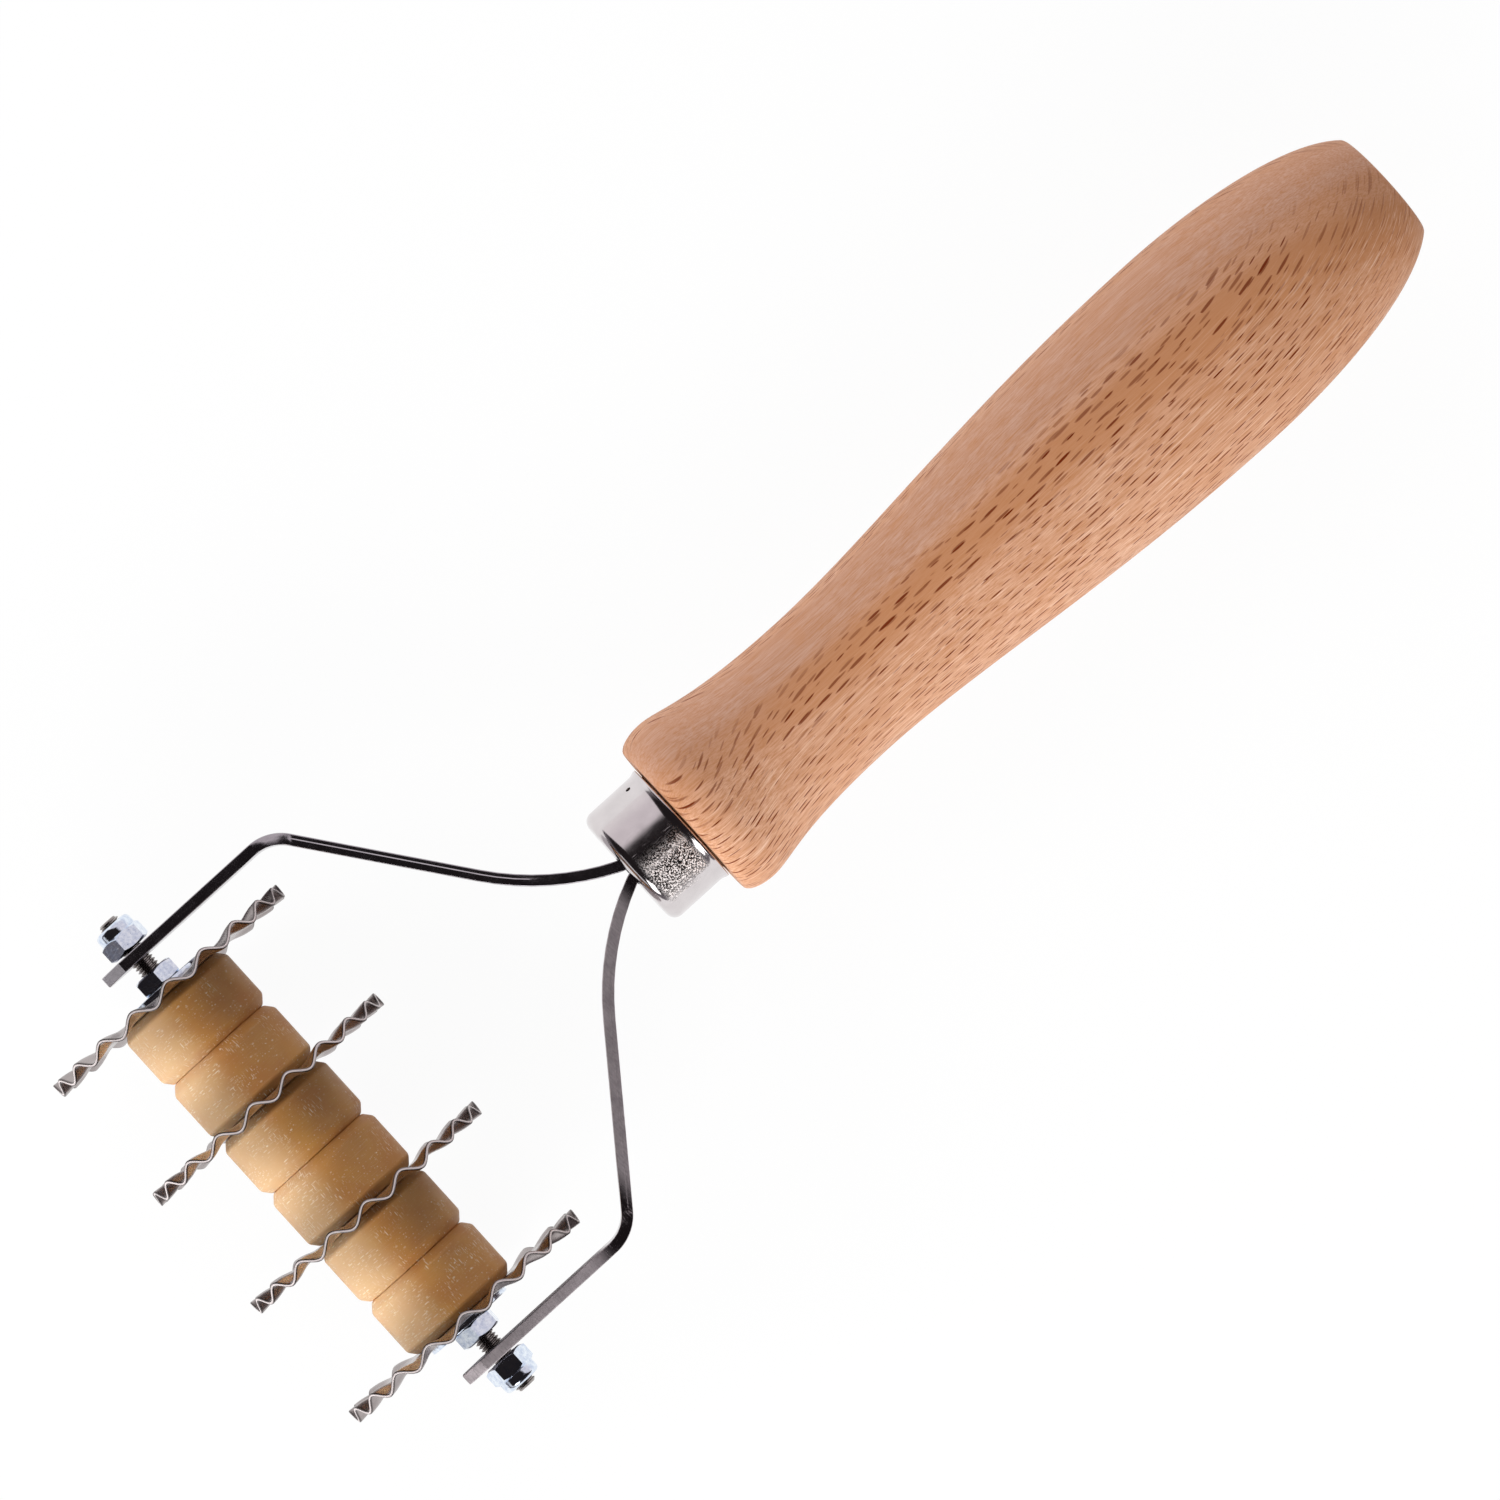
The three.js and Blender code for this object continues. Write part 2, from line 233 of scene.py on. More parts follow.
def tidy_skin(piece: bpy.types.Object) -> None:
    """Merges doubled vertices and turns all faces outwards.

    Args:
        piece: The piece to tidy.
    """
    with editing(piece):
        bpy.ops.mesh.select_all(action="SELECT")
        bpy.ops.mesh.remove_doubles(threshold=MERGE)
        bpy.ops.mesh.normals_make_consistent(inside=False)


def chain(name: str, points: Sequence[Vector]) -> bpy.types.Object:
    """Draws a line by extruding one vertex from point to point.

    Args:
        name: Name of the new piece.
        points: The points in order.

    Returns:
        The piece, which holds edges only.
    """
    bpy.ops.object.select_all(action="DESELECT")
    bpy.ops.mesh.primitive_plane_add(size=1)
    piece = started(name)
    with editing(piece):
        bpy.ops.mesh.select_all(action="SELECT")
        bpy.ops.mesh.merge(type="CENTER")
        bpy.ops.transform.translate(value=points[0])
        for here, there in pairwise(points):
            bpy.ops.mesh.extrude_vertices_move(TRANSFORM_OT_translate={"value": there - here})
    return piece


def turned(name: str, profile: Sequence[Pair], about: Axis, steps: int) -> bpy.types.Object:
    """Turns a piece on the lathe: draws its profile and spins it a full turn.

    Args:
        name: Name of the new piece.
        profile: Pairs of the distance along the axis and the radius, in millimetres.
        about: The axis that it is turned about.
        steps: Sides of the round.

    Returns:
        The turned piece.
    """
    axis = Vector(about.value)
    piece = chain(name, [axis * along + UP * radius for along, radius in profile])
    with editing(piece):
        bpy.ops.mesh.select_all(action="SELECT")
        bpy.ops.mesh.spin(steps=steps, angle=math.tau, center=(0, 0, 0), axis=axis)
    tidy_skin(piece)
    return piece


def copied(piece: bpy.types.Object, name: str, placement: Matrix) -> bpy.types.Object:
    """Copies a piece with a mesh of its own.

    Args:
        piece: The piece to copy.
        name: Name of the copy.
        placement: Where the copy is moved to, in the tool's frame.

    Returns:
        The copy.
    """
    twin = piece.copy()
    twin.data = piece.data.copy()
    twin.name = name
    twin.data.name = name
    twin.data.transform(placement)
    bpy.context.scene.collection.objects.link(twin)
    return twin


def set_in_place(piece: bpy.types.Object) -> None:
    """Takes a finished piece from millimetres in the tool's frame to its place in metres, and smooths it.

    Args:
        piece: The finished piece.
    """
    piece.matrix_world = TOOL
    select_only(piece)
    bpy.ops.object.transform_apply(location=True, rotation=True, scale=True)
    bpy.ops.object.shade_smooth_by_angle(angle=SMOOTH_ANGLE)
    apply_modifier(piece, "WEIGHTED_NORMAL", keep_sharp=True)


def arc(middle: Pair, radii: Pair, start: float, end: float, steps: int) -> list[Pair]:
    """Points on a stretch of an ellipse.

    Args:
        middle: The ellipse's middle.
        radii: Its two half axes.
        start: Where it starts, in degrees from the first axis.
        end: Where it ends.
        steps: Number of steps between the two.

    Returns:
        The points from start to end, both included.
    """
    angles = [math.radians(start + (end - start) * step / steps) for step in range(steps + 1)]
    return [(middle[0] + radii[0] * math.cos(a), middle[1] + radii[1] * math.sin(a)) for a in angles]


def bezier(points: Sequence[Pair], steps: int) -> list[Pair]:
    """Points on a cubic curve.

    Args:
        points: Its four control points.
        steps: Number of steps between the first and the last.

    Returns:
        The points from the first to the last, without the first.
    """
    found = []
    for step in range(1, steps + 1):
        t = step / steps
        shares = ((1 - t) ** 3, 3 * t * (1 - t) ** 2, 3 * t * t * (1 - t), t**3)
        found.append(tuple(sum(s * p[axis] for s, p in zip(shares, points)) for axis in range(2)))
    return found


class Bench:
    """A node tree with short calls to add nodes and join them."""

    def __init__(self, tree: bpy.types.NodeTree) -> None:
        """Takes the tree that nodes are added to."""
        self.tree = tree

    def add(self, kind: str, inputs: dict | None = None, **settings: object) -> bpy.types.Node:
        """Adds a node.

        Args:
            kind: The node's type, without its ShaderNode prefix.
            inputs: Values or sockets for its inputs, by name or number.
            **settings: The node's own settings.

        Returns:
            The node.
        """
        node = self.tree.nodes.new("ShaderNode" + kind)
        for setting, value in settings.items():
            setattr(node, setting, value)
        for name, value in (inputs or {}).items():
            self.feed(node.inputs[name], value)
        return node

    def feed(self, socket: Socket, value: object) -> None:
        """Links a socket to an input, or sets the input to a constant.

        Args:
            socket: The input.
            value: A socket, or a number, colour or vector.
        """
        if isinstance(value, bpy.types.NodeSocket):
            self.tree.links.new(value, socket)
        elif socket.type == "RGBA":
            socket.default_value = (*value, 1.0)
        else:
            socket.default_value = value

    def math(self, operation: str, *values: object, clamp: bool = False) -> Socket:
        """A Math node's result."""
        node = self.add("Math", dict(enumerate(values)), operation=operation, use_clamp=clamp)
        return node.outputs[0]

    def product(self, first: object, *others: object) -> Socket:
        """Several values multiplied.

        Args:
            first: The first value.
            *others: The values that it is multiplied by, in order.

        Returns:
            The product.
        """
        for other in others:
            first = self.math("MULTIPLY", first, other)
        return first

    def vector(self, operation: str, *values: object) -> Socket:
        """A Vector Math node's vector result."""
        return self.add("VectorMath", dict(enumerate(values)), operation=operation).outputs["Vector"]

    def measure(self, operation: str, *values: object) -> Socket:
        """A Vector Math node's number result."""
        return self.add("VectorMath", dict(enumerate(values)), operation=operation).outputs["Value"]

    def split(self, place: Socket) -> tuple[Socket, Socket, Socket]:
        """The three parts of a vector."""
        return tuple(self.add("SeparateXYZ", {"Vector": place}).outputs)

    def joined(self, x: object, y: object, z: object) -> Socket:
        """A vector from three parts."""
        return self.add("CombineXYZ", {"X": x, "Y": y, "Z": z}).outputs["Vector"]

    def stretched(self, place: Socket, grain: Grain) -> Socket:
        """A place divided by the length of the grain along each axis, in millimetres."""
        return self.vector("DIVIDE", place, grain)

    def noise(self, place: Socket, grain: Grain, detail: float = 2, roughness: float = 0.5) -> Socket:
        """Noise with its own grain along each axis.

        Args:
            place: The place on the piece.
            grain: Length of the grain along each axis, in millimetres.
            detail: How many finer layers it has.
            roughness: How strong they are.

        Returns:
            The noise, about 0 to 1.
        """
        inputs = {"Vector": self.stretched(place, grain), "Scale": 1, "Detail": detail}
        return self.add("TexNoise", inputs | {"Roughness": roughness}).outputs["Fac"]

    def span(self, value: object, low: float, high: float, start: float = 0, end: float = 1) -> Socket:
        """Takes a value between two limits to a share, with a soft start and end. A Ramp holds all four.

        Args:
            value: The value.
            low: The limit where the share starts to change.
            high: The limit where it has changed.
            start: The share before the change.
            end: The share after it.

        Returns:
            The share.
        """
        inputs = {"Value": value, "From Min": low, "From Max": high, "To Min": start, "To Max": end}
        return self.add("MapRange", inputs, interpolation_type="SMOOTHSTEP").outputs["Result"]

    def blend(self, share: object, first: object, second: object) -> Socket:
        """Two colours mixed.

        Args:
            share: How much of the second colour there is.
            first: The first colour.
            second: The second colour.

        Returns:
            The mixed colour.
        """
        node = self.add("Mix", data_type="RGBA")
        self.feed(node.inputs["Factor"], share)
        for name, value in (("A_Color", first), ("B_Color", second)):
            self.feed(next(s for s in node.inputs if s.identifier == name), value)
        return next(s for s in node.outputs if s.identifier == "Result_Color")

    def bump(self, height: Socket, depth: float, strength: float = 1.0) -> Socket:
        """A normal from a height.

        Args:
            height: The height, about 0 to 1.
            depth: What a height of 1 stands for, in millimetres.
            strength: How much of it is used.

        Returns:
            The normal.
        """
        inputs = {"Height": height, "Distance": depth * MM, "Strength": strength}
        return self.add("Bump", inputs).outputs["Normal"]

    def group(self, tree: bpy.types.NodeTree, **inputs: object) -> bpy.types.Node:
        """Places a node group.

        Args:
            tree: The group.
            **inputs: Values or sockets for its inputs, by their names in small letters.

        Returns:
            The group's node.
        """
        node = self.tree.nodes.new("ShaderNodeGroup")
        node.node_tree = tree
        for name, value in inputs.items():
            self.feed(node.inputs[name.replace("_", " ").capitalize()], value)
        return node


class Effects:
    """Effects that more than one finish uses, each a node group that is built once."""

    speck_sizes: Pair = (0.5, 1.2)
    speck_edge: Pair = (1.0, 0.6)
    scratch_contrast: float = 4.0
    cloud_edge: Pair = (0.25, 0.75)

    def __init__(self) -> None:
        """Builds the groups."""
        self.place = self.make_place()
        self.round_place = self.make_round_place()
        self.specks = self.make_specks()
        self.scratches = self.make_scratches()
        self.cloud = self.make_cloud()

    @staticmethod
    def new(
        name: str, inputs: dict[str, str], outputs: dict[str, str]
    ) -> tuple[Bench, bpy.types.Node, dict[str, Socket]]:
        """Starts a node group.

        Args:
            name: The group's name.
            inputs: The kind of each input socket by its name.
            outputs: The kind of each output socket by its name.

        Returns:
            The group's bench, its output node and its input sockets by name.
        """
        tree = bpy.data.node_groups.new(name, "ShaderNodeTree")
        for way, sockets in (("INPUT", inputs), ("OUTPUT", outputs)):
            for socket, kind in sockets.items():
                tree.interface.new_socket(socket, in_out=way, socket_type="NodeSocket" + kind)
        start = tree.nodes.new("NodeGroupInput")
        end = tree.nodes.new("NodeGroupOutput")
        return Bench(tree), end, {socket.name: socket for socket in start.outputs if socket.name}

    def make_place(self) -> bpy.types.NodeTree:
        """The place on a piece, in millimetres in the tool's frame.

        Returns:
            The group.
        """
        bench, end, _ = self.new("tool_place", {}, {"Place": "Vector"})
        location, turn, scale = TOOL.decompose()
        inputs = {
            "Vector": bench.add("TexCoord").outputs["Object"],
            "Location": location,
            "Rotation": turn.to_euler(),
            "Scale": scale,
        }
        mapping = bench.add("Mapping", inputs, vector_type="TEXTURE")
        bench.feed(end.inputs["Place"], mapping.outputs["Vector"])
        return bench.tree

    def make_round_place(self) -> bpy.types.NodeTree:
        """The place round an axis: along it, round it at a set radius, and out from it, in millimetres.

        Returns:
            The group.
        """
        names = ("Along", "Side", "Up", "Radius")
        bench, end, given = self.new("round_place", dict.fromkeys(names, "Float"), {"Place": "Vector"})
        angle = bench.math("ARCTAN2", given["Side"], given["Up"])
        around = bench.math("MULTIPLY", angle, given["Radius"])
        squares = [bench.math("POWER", given[name], 2.0) for name in ("Side", "Up")]
        out = bench.math("SQRT", bench.math("ADD", *squares))
        bench.feed(end.inputs["Place"], bench.joined(given["Along"], around, out))
        return bench.tree

    def make_specks(self) -> bpy.types.NodeTree:
        """Scattered specks or dashes: a lens round a point in each cell, some left out.

        A lens leans from the place's first axis towards the second by the slope that is given.

        Returns:
            The group.
        """
        inputs = dict.fromkeys(("Place", "Cell", "Reach"), "Vector")
        inputs |= dict.fromkeys(("Share", "Scatter", "Lean"), "Float")
        bench, end, given = self.new("specks", inputs, {"Mask": "Float", "Tone": "Float"})
        cells = bench.vector("DIVIDE", given["Place"], given["Cell"])
        points = bench.add("TexVoronoi", {"Vector": cells, "Scale": 1.0, "Randomness": given["Scatter"]})
        away = bench.vector("SUBTRACT", cells, points.outputs["Position"])
        x, y, z = bench.split(bench.vector("MULTIPLY", away, given["Cell"]))
        leaning = bench.joined(x, bench.math("SUBTRACT", y, bench.math("MULTIPLY", x, given["Lean"])), z)
        lens = bench.vector("DIVIDE", leaning, given["Reach"])
        chance, tone, size = bench.split(points.outputs["Color"])
        reach = bench.math("DIVIDE", bench.measure("LENGTH", lens), bench.span(size, 0, 1, *self.speck_sizes))
        kept = bench.math("LESS_THAN", chance, given["Share"])
        mask = bench.math("MULTIPLY", bench.span(reach, *self.speck_edge), kept)
        bench.feed(end.inputs["Mask"], mask)
        bench.feed(end.inputs["Tone"], tone)
        return bench.tree

    def make_scratches(self) -> bpy.types.NodeTree:
        """Fine lines, which run along the axis where their grain is longest.

        Returns:
            The group.
        """
        inputs = {"Place": "Vector", "Grain": "Vector", "Level": "Float"}
        bench, end, given = self.new("scratches", inputs, {"Mask": "Float"})
        lines = bench.vector("DIVIDE", given["Place"], given["Grain"])
        noise = bench.add("TexNoise", {"Vector": lines, "Scale": 1.0, "Detail": 3.0, "Roughness": 0.65})
        over = bench.math("SUBTRACT", noise.outputs["Fac"], given["Level"])
        bench.feed(end.inputs["Mask"], bench.math("MULTIPLY", over, self.scratch_contrast, clamp=True))
        return bench.tree

    def make_cloud(self) -> bpy.types.NodeTree:
        """Soft uneven patches, for tints and for a finish that is duller in places.

        Returns:
            The group.
        """
        bench, end, given = self.new("cloud", {"Place": "Vector", "Grain": "Float"}, {"Value": "Float"})
        scaled = bench.vector("DIVIDE", given["Place"], bench.joined(*(given["Grain"],) * 3))
        noise = bench.add("TexNoise", {"Vector": scaled, "Scale": 1.0, "Detail": 4.0, "Roughness": 0.55})
        bench.feed(end.inputs["Value"], bench.span(noise.outputs["Fac"], *self.cloud_edge))
        return bench.tree


@dataclass(frozen=True)
class Finish:
    """A finish: the record's slot that it belongs to, and the name of its material."""

    slot: str
    name: str

    def material(self, effects: Effects) -> bpy.types.Material:
        """Makes the finish's material.

        Args:
            effects: The shared node groups.

        Returns:
            The material.
        """
        material = bpy.data.materials.new(self.name)
        material.use_nodes = True
        bench = Bench(material.node_tree)
        shader = material.node_tree.nodes["Principled BSDF"]
        place = bench.group(effects.place).outputs["Place"]
        self.dress(bench, shader, place, effects)
        return material

    def dress(self, bench: Bench, shader: bpy.types.Node, place: Socket, effects: Effects) -> None:
        """Joins the finish's nodes to the shader.

        Args:
            bench: The material's bench.
            shader: Its Principled shader.
            place: The place in the tool's frame.
            effects: The shared node groups.
        """
        raise NotImplementedError


@dataclass(frozen=True)
class Specks:
    """A layer of specks or dashes: their cells and reach in millimetres, and how many of them show.

    The scatter says how far they stray from rows, and the tones how faint and how strong they are.
    """

    cell: Grain
    reach: Grain
    share: float
    scatter: float = 1.0
    tones: Pair = (0.2, 1.0)

    def lay(self, bench: Bench, effects: Effects, place: Socket, lean: float = 0) -> tuple[Socket, Socket]:
        """Lays the specks over a surface.

        Args:
            bench: The material's bench.
            effects: The shared node groups.
            place: The place that the cells follow.
            lean: Slope of the dashes, from the place's first axis towards the second.

        Returns:
            The mask of the specks, and their tone, which differs from speck to speck.
        """
        node = bench.group(
            effects.specks,
            place=place,
            cell=self.cell,
            reach=self.reach,
            share=self.share,
            scatter=self.scatter,
            lean=lean,
        )
        return node.outputs["Mask"], bench.span(node.outputs["Tone"], 0, 1, *self.tones)


@dataclass(frozen=True)
class Beech(Finish):
    """Turned and sanded beech: pale wood with a darker streak, fine fibres, and rays that show as dashes.

    The rays stand out from the heart of the tree as thin ribbons along the grain. They show as dark dashes
    where the surface faces along them, and as faint patches where it shows their flats. Pale lines along the
    grain are painted sheen, more of them where the rays are seen end on.
    """

    slot: str = "beech"
    name: str = "turned_beech"
    pale: Colour = (0.63, 0.355, 0.23)
    flat: Colour = (0.55, 0.328, 0.238)
    streak: Colour = (0.45, 0.195, 0.083)
    ray: Colour = (0.14, 0.016, 0.0)
    patch: Colour = (0.54, 0.25, 0.115)
    # Painted sheen: the colour of pale lines along the grain.
    painted_silk_sheen: Colour = (0.93, 0.69, 0.54)
    ray_lean: float = 62
    heart: float = 38
    drift_grain: Grain = (40, 14, 14)
    drift: Grain = (0, 1.6, 1.6)
    streak_from: float = 2.6
    streak_to: float = 7.0
    streak_soft: Pair = (1.2, 1.6)
    streak_slant: float = 0.042
    streak_level_at: float = 92
    streak_fade: float = 30
    streak_strength: Pair = (0.3, 0.8)
    ring_spacing: float = 3.6
    late_wood: Pair = (0.35, 0.97)
    late_share: float = 0.25
    end_on_edge: Pair = (0.22, 0.5)
    ray_step: float = 1.7
    ray_slope: float = 0.08
    row_slope: float = -0.026
    bold: Specks = Specks((3.8, 0.82, 14), (2.0, 0.096, 11), 0.94, 0.3, (0.6, 1))
    bold_facing: Ramp = (0.62, 0.88, 1, 0.12)
    fine: Specks = Specks((3.1, 0.56, 9), (1.6, 0.078, 7), 0.88, 0.42, (0.7, 1))
    fine_facing: Ramp = (0.5, 0.8, 0.65, 1)
    fine_shift: Grain = (31.0, 17.0, 5.0)
    butt_dashes: Ramp = (162, 178, 1, 0.45)
    flat_rays: Ramp = (0.6, 0, 0, 0.35)
    butt_tone: Ramp = (125.0, 160.0, 0, 0.4)
    fibre_grain: Grain = (5, 0.2, 0.2)
    fibre_ramp: Ramp = (0.34, 0.68, 0, 0.85)
    cloud_grain: float = 7.0
    cloud_share: float = 0.15
    silk_sheen_grain: Grain = (7.0, 0.11, 1.5)
    silk_sheen_edge: Pair = (0.52, 0.72)
    silk_sheen_facing: Ramp = (0.5, 0.97, 0.0, 0.45)
    gloss: Pair = (0.46, 0.58)
    dash_dullness: float = 0.35
    specular: float = 0.2
    relief_depth: float = 0.03
    relief_strength: float = 0.35

    def in_tree(self, bench: Bench, place: Socket, effects: Effects) -> tuple[Socket, Socket]:
        """The place in the tree that the handle was cut from.

        Args:
            bench: The material's bench.
            place: The place in the tool's frame.
            effects: The shared node groups.

        Returns:
            The place along the grain, round the heart and out from it, and how squarely the rays are met.
        """
        inputs = {"Vector": place, "Angle": math.radians(-self.ray_lean)}
        grain = bench.add("VectorRotate", inputs, rotation_type="X_AXIS").outputs["Vector"]
        inputs = {"Vector": bench.stretched(grain, self.drift_grain), "Scale": 1, "Detail": 1}
        drift = bench.add("TexNoise", inputs).outputs["Color"]
        wander = bench.vector("MULTIPLY", bench.vector("SUBTRACT", drift, (0.5, 0.5, 0.5)), self.drift)
        along, across, up = bench.split(bench.vector("ADD", grain, wander))
        off_heart = bench.math("ADD", up, self.heart)
        wood = bench.group(
            effects.round_place, along=along, side=across, up=off_heart, radius=self.heart
        ).outputs["Place"]
        outward = bench.vector("NORMALIZE", bench.joined(0.0, across, up))
        ray_way = bench.vector("NORMALIZE", bench.joined(0.0, across, off_heart))
        return wood, bench.math("ABSOLUTE", bench.measure("DOT_PRODUCT", outward, ray_way))

    def streaks(self, bench: Bench, along: Socket, out: Socket) -> tuple[Socket, Socket]:
        """The dark streak of the wood and its rings.

        Args:
            bench: The material's bench.
            along: The place along the grain.
            out: The distance from the heart.

        Returns:
            The mask of the streak and that of the late wood in each ring.
        """
        level_at = self.streak_level_at
        slant = bench.math("MULTIPLY", bench.math("SUBTRACT", along, level_at), self.streak_slant)
        depth = bench.math("SUBTRACT", bench.math("SUBTRACT", out, self.heart), slant)
        soft_start, soft_end = self.streak_soft
        rise = bench.span(depth, self.streak_from - soft_start, self.streak_from + soft_start)
        fall = bench.span(depth, self.streak_to + soft_end, self.streak_to - soft_end)
        strength = bench.span(along, level_at - self.streak_fade, level_at, *self.streak_strength)
        ring = bench.math("FRACT", bench.math("DIVIDE", depth, self.ring_spacing))
        late_from, late_to = self.late_wood
        late = bench.product(bench.span(ring, late_from, late_to), bench.span(ring, 1.0, late_to))
        return bench.product(rise, fall, strength), late

    def rays(self, bench: Bench, wood: Socket, facing: Socket, effects: Effects) -> tuple[Socket, Socket]:
        """The rays of the wood, in rows of bold and fine ones.

        Args:
            bench: The material's bench.
            wood: The place in the tree.
            facing: How squarely the rays are met.
            effects: The shared node groups.

        Returns:
            The mask of the dashes and that of the flats.
        """
        along, around, out = bench.split(wood)
        row = bench.math("SUBTRACT", around, bench.math("MULTIPLY", along, self.row_slope))
        stepped = bench.math("ADD", along, bench.math("MULTIPLY", row, self.ray_step))
        rows = bench.joined(stepped, row, out)
        bold, bold_tone = self.bold.lay(bench, effects, rows, self.ray_slope)
        shifted = bench.vector("ADD", rows, self.fine_shift)
        fine, fine_tone = self.fine.lay(bench, effects, shifted, self.ray_slope)
        bold_dashes = bench.product(bold, bold_tone, bench.span(facing, *self.bold_facing))
        fine_dashes = bench.product(fine, fine_tone, bench.span(facing, *self.fine_facing))
        both = bench.math("MAXIMUM", bold_dashes, fine_dashes)
        end_on = bench.span(facing, *self.end_on_edge)
        dashes = bench.product(both, end_on, bench.span(along, *self.butt_dashes))
        return dashes, bench.math("MULTIPLY", bold, bench.span(end_on, *self.flat_rays))

    def dress(self, bench: Bench, shader: bpy.types.Node, place: Socket, effects: Effects) -> None:
        """Joins the wood's nodes to the shader.

        Args:
            bench: The material's bench.
            shader: Its Principled shader.
            place: The place in the tool's frame.
            effects: The shared node groups.
        """
        wood, facing = self.in_tree(bench, place, effects)
        along, around, out = bench.split(wood)
        streak, late = self.streaks(bench, along, out)
        dashes, flats = self.rays(bench, wood, facing, effects)
        end_on = bench.span(facing, *self.end_on_edge)
        fibres = bench.noise(wood, self.fibre_grain, detail=3, roughness=0.75)
        clouds = bench.group(effects.cloud, place=wood, grain=self.cloud_grain).outputs["Value"]
        # Painted sheen: pale lines along the grain, more where the rays are seen end on.
        skewed = bench.math("SUBTRACT", around, bench.math("MULTIPLY", along, self.ray_slope / 2))
        painted_silk_sheen = bench.noise(bench.joined(along, skewed, out), self.silk_sheen_grain, roughness=0.6)
        silky_painted_sheen = bench.product(bench.span(painted_silk_sheen, *self.silk_sheen_edge), bench.span(facing, *self.silk_sheen_facing))

        layers = (
            (bench.math("MULTIPLY", bench.span(along, *self.butt_tone), end_on), self.streak),
            (streak, self.streak),
            (bench.math("MULTIPLY", late, self.late_share), self.streak),
            (flats, self.patch),
            (bench.span(fibres, *self.fibre_ramp), self.streak),
            (bench.math("MULTIPLY", clouds, self.cloud_share), self.patch),
            (silky_painted_sheen, self.painted_silk_sheen),
            (dashes, self.ray),
        )
        tint = bench.blend(end_on, self.flat, self.pale)
        for share, colour in layers:
            tint = bench.blend(share, tint, colour)
        bench.feed(shader.inputs["Base Color"], tint)
        dull = bench.span(clouds, 0, 1, *self.gloss)
        dull = bench.math("ADD", dull, bench.math("MULTIPLY", dashes, self.dash_dullness))
        bench.feed(shader.inputs["Roughness"], dull)
        shader.inputs["Specular IOR Level"].default_value = self.specular
        relief = bench.math("SUBTRACT", fibres, dashes)
        bench.feed(shader.inputs["Normal"], bench.bump(relief, self.relief_depth, self.relief_strength))


@dataclass(frozen=True)
class Stretch:
    """A stretch of a strip whose rubbing left it brighter or duller than the rest.

    It lies between two places along the tool, and says how far its roughness and its metal share differ.
    """

    start: float
    end: float
    roughness: float
    metal: float


